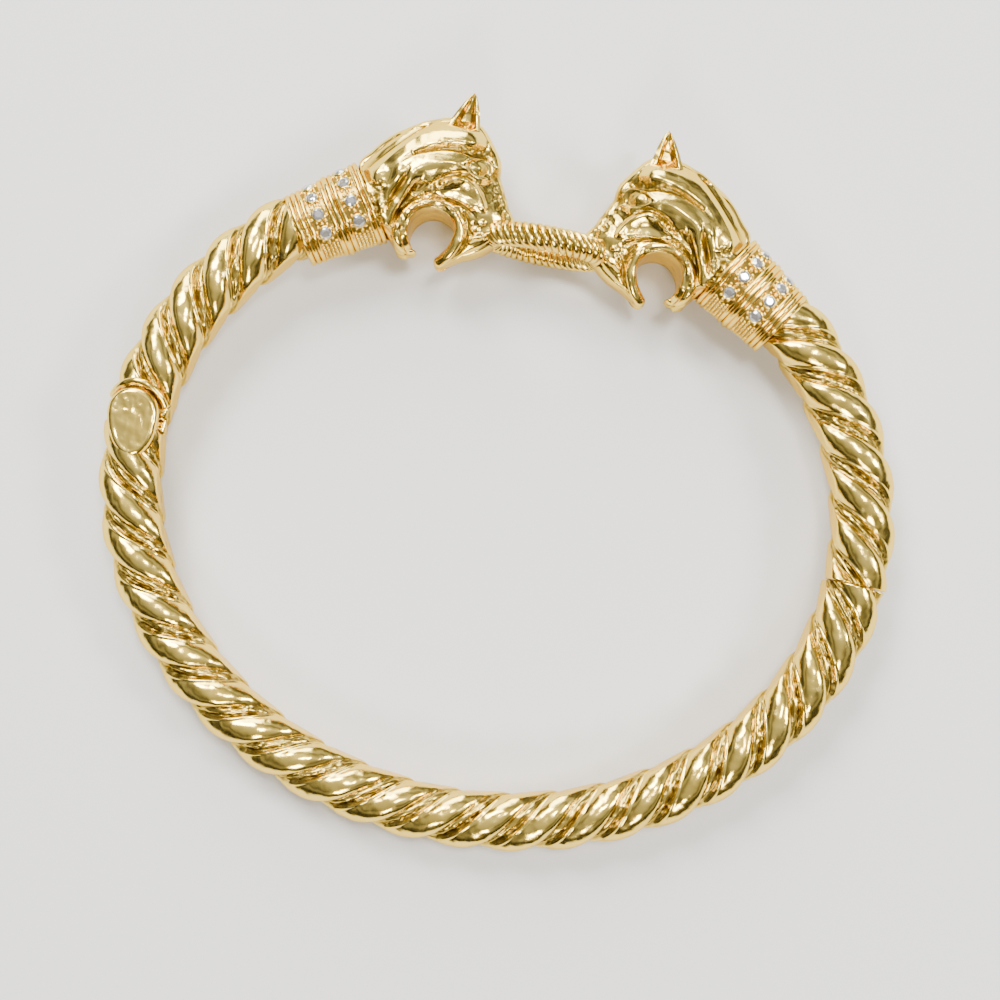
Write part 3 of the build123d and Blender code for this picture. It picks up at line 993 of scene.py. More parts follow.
@dataclass
class Rope:
    """The twisted rope in its three pieces, in millimetres and degrees."""

    strands: int = 3
    left_twist: Twist = Twist(12.87, 1.85)
    back_twist: Twist = Twist(13.66, 55.6)
    right_twist: Twist = Twist(14.0, 122.2)
    back_radius: float = 2.75
    front_radius: float = 3.2
    wall: float = 0.80
    start: float = 128.3
    collar_angle: float = 46.7
    around: int = 132
    step: float = 0.22
    grain: float = 0.26
    hinge_angle: float = 177.3
    clasp_angle: float = -3.15
    seam_angle: float = -2.5283
    seam_gap: float = 0.053
    seam_distance: float = 65.1746
    spare: float = 5.0
    hinge_spare: float = 4.0
    tongue: tuple[float, float] = (2.5, 1.9)
    tongue_reach: float = 4.3
    slot_start: float = 0.3
    slot_spare: float = 0.3
    profile: Curve = (
        (0.0, 0.735), (0.025, 0.79), (0.05, 0.878), (0.075, 0.890), (0.105, 0.876), (0.15, 0.905),
        (0.24, 0.957), (0.36, 0.992), (0.46, 1.0), (0.57, 0.982), (0.66, 0.935), (0.73, 0.865),
        (0.765, 0.80), (0.79, 0.775), (0.85, 0.80), (0.91, 0.785), (0.96, 0.745), (1.0, 0.735),
    )
    # Painted shade across one strand: in the valley between strands and under the lip
    shades: Curve = (
        (0.0, 1.0), (0.03, 0.6), (0.055, 0.0), (0.70, 0.0), (0.76, 0.55),
        (0.79, 0.80), (0.85, 0.50), (0.93, 0.60), (0.97, 1.0), (1.0, 1.0),
    )

    def __post_init__(self) -> None:
        """Builds the tree that all three pieces grow from."""
        self.growth = rope_growth("rope_growth", self.profile, self.shades)

    def radius(self, angle: np.ndarray) -> np.ndarray:
        """Radius over the strands, which grows evenly from the back to both collars.

        Args:
            angle: Angles of the oval, in degrees.

        Returns:
            One radius for each angle.
        """
        from_back = np.abs((angle + 90) % 360 - 180)
        share = (180 - from_back) / (90 + self.collar_angle)
        return self.back_radius + (self.front_radius - self.back_radius) * share

    def length(
        self, name: str, first: float, last: float, twist: Twist, material: bpy.types.Material
    ) -> bpy.types.Object:
        """One untrimmed length of rope.

        Args:
            name: Name of the piece.
            first: Angle of the oval where it starts.
            last: Angle where it ends.
            twist: How its strands turn.
            material: Its finish.

        Returns:
            The grown piece.
        """
        angles, lengths = OVAL.stations(first, last, self.step)
        before = OVAL.stations(self.start, first, self.step)[1][-1] if first > self.start else 0.0
        mesh = mesh_of(
            name,
            LIE.row(OVAL.point(angles)),
            [[i, i + 1] for i in range(len(angles) - 1)],
            outward=LIE.turned(OVAL.outward(angles)),
            size=self.radius(angles) * MM,
            along=lengths + before - twist.notch + self.strands * twist.lead,
        )
        up = LIE.turned(UP[None, :])[0]
        values = {
            "Strands": float(self.strands),
            "Around": self.around,
            "Lead": twist.lead,
            "Wall": self.wall,
            "Grain": self.grain,
            "Up": [float(u) for u in up],
            "Material": material,
        }
        return self.growth.grow(name, mesh, values)

    def seam(self, hinge: Hinge, turn: float) -> Plane:
        """The plane of the clasp's seam.

        Args:
            hinge: The hinge that the seam is radial to.
            turn: Degrees that the plane is turned on about the pin.

        Returns:
            A point of the plane, and its normal towards the arm.
        """
        a = math.radians(self.seam_angle + turn)
        point = LIE.row(np.array([[*hinge.centre, 0.0]]))[0]
        normal = LIE.turned(np.array([[-math.sin(a), math.cos(a), 0.0]]))[0]
        return point, normal

    def back(self, hinge: Hinge, material: bpy.types.Material) -> bpy.types.Object:
        """The back half with the hinge's ears and the clasp's slot.

        Args:
            hinge: The hinge it hangs on.
            material: Its finish.

        Returns:
            The finished piece.
        """
        first, last = self.hinge_angle - self.hinge_spare, 360 + self.clasp_angle + self.spare
        rope = self.length("back_rope_gold", first, last, self.back_twist, material)
        point, normal = self.seam(hinge, -self.seam_gap)
        trimmed(rope, point, normal)
        carved(rope, prism(hinge.wedge(*hinge.back_edges, hinge.reach), -PAST_ROPE, PAST_ROPE))
        carved(rope, hinge.disc(-hinge.ear_foot, hinge.ear_foot, hinge.radius + hinge.gap))
        carved(rope, self.slot(hinge))
        return joined("back_rope_gold", [rope, *hinge.ears(material)])

    def slot(self, hinge: Hinge) -> bpy.types.Mesh:
        """The space that the clasp's tongue slides in, bent about the pin.

        Args:
            hinge: The hinge that the tongue moves about.

        Returns:
            The space as a closed mesh.
        """
        wide, high = self.tongue
        x, y = hinge.centre
        inner, outer = [], []
        steps = 5
        for i in range(steps + 1):
            back = i * (self.tongue_reach + self.slot_spare) / steps / self.seam_distance
            a = math.radians(self.seam_angle + self.slot_start) - back
            for rim, shift in ((inner, -wide / 2), (outer, wide / 2)):
                r = self.seam_distance + shift
                rim.append((x + r * math.cos(a), y + r * math.sin(a)))
        outline = inner + outer[::-1]
        n = len(outline)
        points = [(px, py, -high / 2) for px, py in outline] + [(px, py, high / 2) for px, py in outline]
        faces = [[i, (i + 1) % n, n + (i + 1) % n, n + i] for i in range(n)]
        faces += [list(range(n))[::-1], list(range(n, 2 * n))]
        return mesh_of("slot", LIE.row(np.array(points)), faces)

    def left(self, hinge: Hinge, plane: Plane, material: bpy.types.Material) -> bpy.types.Object:
        """The left arm with the hinge's knuckle.

        Args:
            hinge: The hinge it turns on.
            plane: A point and the normal of the left collar's foot.
            material: Its finish.

        Returns:
            The finished piece.
        """
        last = self.hinge_angle + self.hinge_spare
        rope = self.length("left_arm_gold", self.start, last, self.left_twist, material)
        trimmed(rope, *plane)
        a = math.radians(hinge.front_edge + 90)
        centre = LIE.row(np.array([[*hinge.centre, 0.0]]))[0]
        trimmed(rope, centre, LIE.turned(np.array([[math.cos(a), math.sin(a), 0.0]]))[0])
        levels = ((hinge.knuckle, PAST_ROPE), (-PAST_ROPE, -hinge.knuckle))
        for low, high in levels:
            carved(rope, prism(hinge.wedge(*hinge.skin_edges, hinge.reach), low, high))
        for low, high in levels:
            carved(rope, hinge.disc(low, high, hinge.radius + hinge.gap))
        return joined("left_arm_gold", [rope, hinge.middle(material), *hinge.lips(material)])

    def right(self, hinge: Hinge, plane: Plane, material: bpy.types.Material) -> bpy.types.Object:
        """The right arm from the clasp to its collar.

        Args:
            hinge: The hinge that the clasp's seam is radial to.
            plane: A point and the normal of the right collar's foot.
            material: Its finish.

        Returns:
            The finished piece.
        """
        first, last = 360 + self.clasp_angle - self.spare, 360 + self.collar_angle + self.spare
        rope = self.length("right_arm_gold", first, last, self.right_twist, material)
        trimmed(rope, *plane)
        point, normal = self.seam(hinge, self.seam_gap)
        trimmed(rope, point, -normal)
        rope.data.shade_smooth()
        return rope


@dataclass
class Collar:
    """A collar between rope and head, in millimetres and degrees.

    Wires are given as their distance from the rope and their radius, and bands of
    stones as their distance from the rope.
    """

    start: tuple[float, float] = (22.1049, 20.2132)
    end: tuple[float, float] = (16.3641, 23.9415)
    rope_radius: float = 3.0
    head_radius: float = 3.55
    wires: tuple[tuple[float, float], ...] = (
        (0.24, 0.24), (0.74, 0.24), (1.24, 0.24), (3.30, 0.24),
        (3.80, 0.30), (4.34, 0.24), (6.42, 0.22), (6.86, 0.22),
    )
    wire_steps: int = 11
    wire_ends: tuple[float, float] = (0.06, 0.94)
    wire_spread: float = 1.02
    wire_rise: float = 1.4
    wire_bulge: float = 0.8
    # Painted shade between the wires, on what rises less than dark_under over the drum
    dark: float = 0.7
    dark_under: float = 0.12
    bands: tuple[float, float] = (2.27, 5.38)
    over_neck: float = 0.25
    stones: int = 9
    pitch: float = 30.0
    stone_radius: float = 0.52
    stone_rise: float = 0.26
    bezel_radius: float = 0.60
    bead_radius: float = 0.20
    bead_rise: float = 0.12
    grain_radius: float = 0.17
    circle_grains: int = 10
    circle_reach: tuple[float, float] = (0.80, 0.72)
    circle_rise: float = 0.08
    row_shifts: tuple[float, ...] = (-0.66, -0.33, 0.0, 0.33, 0.66)
    row_span: tuple[float, float] = (138.0, 222.0)
    row_pitch: float = 5.6
    row_rise: float = 0.07
    spin: float = 0.4
    around: int = 144

    def __post_init__(self) -> None:
        """Works out the axis."""
        self.origin = np.array([*self.start, 0.0])
        run = np.array([*self.end, 0.0]) - self.origin
        self.length = float(np.linalg.norm(run))
        self.axis = run / self.length
        self.out = np.cross(self.axis, UP)

    def radius(self, along: float) -> float:
        """Radius of the drum at a distance from the rope."""
        return self.rope_radius + (self.head_radius - self.rope_radius) * along / self.length

    def foot(self, side: Side) -> Plane:
        """The plane where the rope ends, as a point of it and the normal past it."""
        point = LIE.row(np.array([self.origin * side.flip]))[0]
        return point, LIE.turned(np.array([self.axis * side.flip]))[0]

    def place(self, along: float, turn: float, rise: float) -> tuple[np.ndarray, np.ndarray]:
        """A point over the drum and its normal.

        Args:
            along: Distance from the rope.
            turn: Degrees from the outer side towards the top.
            rise: Height over the drum.

        Returns:
            Point and unit normal in the flat bangle.
        """
        a = math.radians(turn)
        normal = self.out * math.cos(a) + UP * math.sin(a)
        return self.origin + self.axis * along + normal * (self.radius(along) + rise), normal

    def drum(self, name: str, side: Side, material: bpy.types.Material) -> bpy.types.Object:
        """Drum with its wires, turned about the collar's axis.

        Args:
            name: Name of the piece.
            side: The wearer's side.
            material: Its finish.

        Returns:
            The finished piece, with painted shade between the wires.
        """
        along = [0.0]
        rise = [0.0]
        for place, radius in self.wires:
            for t in np.linspace(*self.wire_ends, self.wire_steps) * math.pi:
                along.append(place - radius * self.wire_spread * math.cos(t))
                rise.append(radius * self.wire_rise * math.sin(t) ** self.wire_bulge)
        along.append(self.length + self.over_neck)
        rise.append(0.0)
        rings = [(0.0, 0.0)] + [(self.radius(s) + h, s) for s, h in zip(along, rise)] + [(0.0, along[-1])]
        points = []
        for r, s in rings:
            for i in range(self.around):
                a = FULL_TURN * i / self.around
                spoke = self.out * math.cos(a) + UP * math.sin(a)
                points.append((self.origin + self.axis * s + spoke * r) * side.flip)
        faces = ring_faces(len(rings), self.around)
        # Painted shade on the drum between the wires
        shades = [0.0] + [self.dark if h < self.dark_under else 0.0 for h in rise] + [0.0]
        mesh = mesh_of(name, LIE.row(np.array(points)), faces, recess=np.repeat(shades, self.around))
        made = placed(name, mesh, material)
        merge_close(made)
        settle(made, Crease.ROUNDED)
        return made

    def points(self, side: Side, places: list[Spot]) -> bpy.types.Mesh:
        """Points over the drum for a setting.

        Args:
            side: The collar's side.
            places: Distance along, turn, rise and size of each piece.

        Returns:
            A mesh of points with normal, spin and size.
        """
        found = [self.place(s, turn, rise) for s, turn, rise, _ in places]
        return mesh_of(
            "setting",
            LIE.row(np.array([p * side.flip for p, _ in found])),
            [],
            normal=LIE.turned(np.array([n * side.flip for _, n in found])),
            spin=np.array([self.spin * i for i in range(len(places))]),
            size=np.array([size * MM for _, _, _, size in places]),
        )

    def stone_turns(self) -> list[float]:
        """Turns of a band's stones, in degrees from the outer side."""
        return [self.pitch * (i - (self.stones - 1) / 2) for i in range(self.stones)]

    def stone_places(self) -> list[Spot]:
        """Where the stones sit."""
        return [(s, t, self.stone_rise, self.stone_radius) for s in self.bands for t in self.stone_turns()]

    def bezel_places(self) -> list[Spot]:
        """Where the rims round the stones sit."""
        return [(s, t, 0.0, self.bezel_radius) for s in self.bands for t in self.stone_turns()]

    def bead_places(self) -> list[Spot]:
        """Where the beads and grains sit: round each stone, between two, and in rows behind.

        Returns:
            Distance along, turn, rise and size of each.
        """
        places = []
        for s in self.bands:
            degree = math.radians(self.radius(s))
            for turn in self.stone_turns():
                for k in range(self.circle_grains):
                    a = FULL_TURN * (k + 0.5) / self.circle_grains
                    around, aside = self.circle_reach[0] * math.sin(a), self.circle_reach[1] * math.cos(a)
                    places.append((s + aside, turn + around / degree, self.circle_rise, self.grain_radius))
            for i in range(self.stones + 1):
                places.append((s, self.pitch * (i - self.stones / 2), self.bead_rise, self.bead_radius))
            first, last = self.row_span
            for k, shift in enumerate(self.row_shifts):
                turns = np.arange(first + self.row_pitch / 2 * (k % 2), last, self.row_pitch)
                places += [(s + shift, float(t), self.row_rise, self.grain_radius) for t in turns]
        return places


def kept_aside(name: str, mesh: bpy.types.Mesh) -> bpy.types.Object:
    """Puts aside a piece that only serves to be copied.

    Args:
        name: Name of the piece.
        mesh: Its mesh.

    Returns:
        The piece, hidden.
    """
    made = bpy.data.objects.new(name, mesh)
    bpy.context.scene.collection.objects.link(made)
    made.hide_render = True
    made.hide_viewport = True
    return made


def brilliant(name: str) -> bpy.types.Object:
    """A cut stone of radius 1 with its girdle at height 0.

    Args:
        name: Name of the piece.

    Returns:
        The stone, kept out of the picture.
    """
    eighth = math.pi / 4
    rings = [
        [(0.55, 0.33, k * eighth) for k in range(8)],
        [(0.79, 0.22, (k + 0.5) * eighth) for k in range(8)],
        [(1.0, 0.03, k * eighth / 2) for k in range(16)],
        [(1.0, -0.03, k * eighth / 2) for k in range(16)],
        [(0.05, -0.80, (k + 0.5) * eighth) for k in range(8)],
    ]
    points = [(r * math.cos(a), r * math.sin(a), h) for ring in rings for r, h, a in ring]
    table, star, girdle, under, foot = 0, 8, 16, 32, 48
    faces = [list(range(8)), [foot + k for k in range(8)][::-1]]
    for k in range(8):
        j = (k + 1) % 8
        faces.append([table + k, star + k, table + j])
        faces.append([table + k, star + k - 1 if k else star + 7, girdle + 2 * k, star + k])
        middle = girdle + 2 * k + 1
        faces.append([star + k, girdle + 2 * k, middle])
        faces.append([star + k, middle, girdle + 2 * j])
        low = under + 2 * k + 1
        faces.append([under + 2 * k, foot + k, low])
        faces.append([low, foot + k, under + 2 * j])
        faces.append([under + 2 * j, foot + k, foot + j])
    for k in range(16):
        j = (k + 1) % 16
        faces.append([girdle + k, under + k, under + j, girdle + j])
    made = kept_aside(name, mesh_of(name, np.array(points), faces))
    settle(made, Crease.CUT)
    return made


def bezel(name: str) -> bpy.types.Object:
    """A low round rim of radius 1 that a stone sits in.

    Args:
        name: Name of the piece.

    Returns:
        The rim, kept out of the picture.
    """
    loop = [(0.98, -0.4), (1.16, -0.4), (1.16, 0.30), (1.08, 0.46)]
    loop += [(0.96, 0.50), (0.84, 0.42), (0.82, 0.2), (0.86, -0.4)]
    around = 24
    turns = [FULL_TURN * i / around for i in range(around)]
    points = [(r * math.cos(a), r * math.sin(a), h) for r, h in loop for a in turns]
    faces = ring_faces(len(loop), around, closed=True)
    made = kept_aside(name, mesh_of(name, np.array(points), faces))
    settle(made, Crease.RIMMED)
    return made


def grain(name: str) -> bpy.types.Object:
    """A small ball of radius 1.

    Args:
        name: Name of the piece.

    Returns:
        The ball, kept out of the picture.
    """
    shape = bmesh.new()
    bmesh.ops.create_icosphere(shape, subdivisions=2, radius=1.0)
    mesh = bpy.data.meshes.new(name)
    shape.to_mesh(mesh)
    shape.free()
    mesh.shade_smooth()
    return kept_aside(name, mesh)


@dataclass
class MouthRing:
    """The oval ring of ridged wire, in millimetres, with strands twisted as in the rope."""

    half_width: float = 5.0622
    half_height: float = 3.7
    out: float = 23.1788
    wire: float = 1.15
    starts: int = 4
    turns: int = 11
    around: int = 56
    points: int = 360
    no_wall: float = 2.0
    profile: Curve = (
        (0.0, 0.86), (0.1, 0.90), (0.3, 0.985), (0.5, 1.0), (0.7, 0.985), (0.9, 0.90), (1.0, 0.86),
    )
    # Painted shade in the valleys between the ring's strands
    shades: Curve = ((0.0, 1.0), (0.08, 0.6), (0.18, 0.0), (0.82, 0.0), (0.92, 0.6), (1.0, 1.0))

    def centre(self, turn: np.ndarray) -> np.ndarray:
        """Points of the wire's centre line at turns in radians."""
        across, up = self.half_width * np.cos(turn), self.half_height * np.sin(turn)
        return np.stack([across, 0 * turn + self.out, up], axis=1)

    def build(self, name: str, material: bpy.types.Material) -> bpy.types.Object:
        """Grows the ring.

        Args:
            name: Name of the piece.
            material: Its finish.

        Returns:
            The finished ring.
        """
        fine = np.linspace(0, FULL_TURN, FINE_STEPS)
        lengths = lengths_along(self.centre(fine))
        wanted = np.arange(self.points) * lengths[-1] / self.points
        a = np.interp(wanted, lengths, fine)
        out = np.stack([np.cos(a) / self.half_width, 0 * a, np.sin(a) / self.half_height], axis=1)
        out /= np.linalg.norm(out, axis=1, keepdims=True)
        mesh = mesh_of(
            name,
            LIE.row(self.centre(a)),
            [[i, (i + 1) % self.points] for i in range(self.points)],
            outward=LIE.turned(out),
            size=np.full(self.points, self.wire * MM),
            along=wanted,
        )
        growth = rope_growth("ring_growth", self.profile, self.shades)
        up = LIE.turned(np.array([[0, 1.0, 0]]))[0]
        values = {
            "Strands": float(self.starts),
            "Around": self.around,
            "Lead": float(lengths[-1] / self.turns),
            "Wall": self.no_wall,
            "Grain": 0.0,
            "Up": [float(u) for u in up],
            "Material": material,
        }
        made = growth.grow(name, mesh, values)
        settle(made, Crease.ROUNDED)
        return made


def smoothed(path: np.ndarray, closed: bool, times: int = 2) -> np.ndarray:
    """A path with its corners cut so that it runs smoothly.

    Args:
        path: Its points.
        closed: Whether the last point joins the first.
        times: How often the corners are cut.

    Returns:
        The smoother path.
    """
    for _ in range(times):
        after = np.roll(path, -1, axis=0)
        if not closed:
            after = after[:-1]
        before = path if closed else path[:-1]
        cut = np.stack([0.75 * before + 0.25 * after, 0.25 * before + 0.75 * after], axis=1).reshape(-1, 2)
        path = cut if closed else np.concatenate([path[:1], cut, path[-1:]])
    return path


def near_path(spots: np.ndarray, path: np.ndarray) -> tuple[np.ndarray, np.ndarray]:
    """Distance from each spot to a path, and how far along the nearest place is.

    Args:
        spots: Places to measure from.
        path: Points of an open path.

    Returns:
        Distances, and shares of the path's length.
    """
    best = np.full(len(spots), np.inf)
    share = np.zeros(len(spots))
    runs = np.linalg.norm(np.diff(path, axis=0), axis=1)
    starts = np.concatenate([[0.0], np.cumsum(runs)])
    for k, run in enumerate(runs):
        if run < 1e-9:
            continue
        step = (path[k + 1] - path[k]) / run
        offset = spots - path[k]
        t = np.clip(offset @ step, 0, run)
        gap = np.linalg.norm(offset - t[:, None] * step, axis=1)
        nearer = gap < best
        best[nearer] = gap[nearer]
        share[nearer] = ((starts[k] + t) / starts[-1])[nearer]
    return best, share


def inside(spots: np.ndarray, outline: np.ndarray) -> np.ndarray:
    """Whether each spot lies inside a closed outline.

    Args:
        spots: The spots.
        outline: Points of the outline in order.

    Returns:
        One answer for each spot.
    """
    x, y = spots.T
    found = np.zeros(len(spots), bool)
    for (ax, ay), (bx, by) in zip(outline, np.roll(outline, -1, axis=0)):
        crosses = (ay > y) != (by > y)
        with np.errstate(divide="ignore", invalid="ignore"):
            found ^= crosses & (x < (bx - ax) * (y - ay) / (by - ay) + ax)
    return found


class Form(Enum):
    """How a worked line or patch changes the head's skin."""

    RIDGE = "ridge"
    GROOVE = "groove"
    BAND = "band"
    PATCH = "patch"
    HOLLOW = "hollow"
    GRAIN = "grain"


LINES = (Form.RIDGE, Form.GROOVE, Form.BAND)
SUNK = (Form.GROOVE, Form.HOLLOW)
# Distance between grains in millimetres, and how a line fades at its ends, in shares of it
GRAIN_SIZE = 0.30
TAPER_WAY = 0.3
TAPER_END = 0.05
TAPER_BULGE = 0.7


@dataclass(frozen=True)
class Work:
    """One worked line or patch on a head, in millimetres as seen from above.

    A line is a path with a half width. A patch is a closed outline with a soft
    edge of that width. Heights are measured out of the skin, and shade is the painted shade it gives.
    """

    form: Form
    path: Curve
    width: float
    height: float
    shade: float = 0.0
    taper: bool = True

    def amount(self, spots: np.ndarray) -> np.ndarray:
        """How strongly it is worked at each spot.

        Args:
            spots: Places on the head as seen from above.

        Returns:
            Shares from 0 to 1.
        """
        path = np.array(self.path, float)
        if self.form in LINES:
            gap, share = near_path(spots, smoothed(path, False))
            amount = np.exp(-((gap / self.width) ** (4 if self.form is Form.BAND else 2)))
            if self.taper:
                inward = np.minimum(share, 1 - share) / TAPER_WAY
                amount = amount * np.clip(inward, TAPER_END, 1) ** TAPER_BULGE
            return amount
        outline = smoothed(path, True)
        gap = near_path(spots, np.concatenate([outline, outline[:1]]))[0]
        depth = np.where(inside(spots, outline), gap, -gap)
        return eased(np.clip(depth / self.width * 0.5 + 0.5, 0, 1))
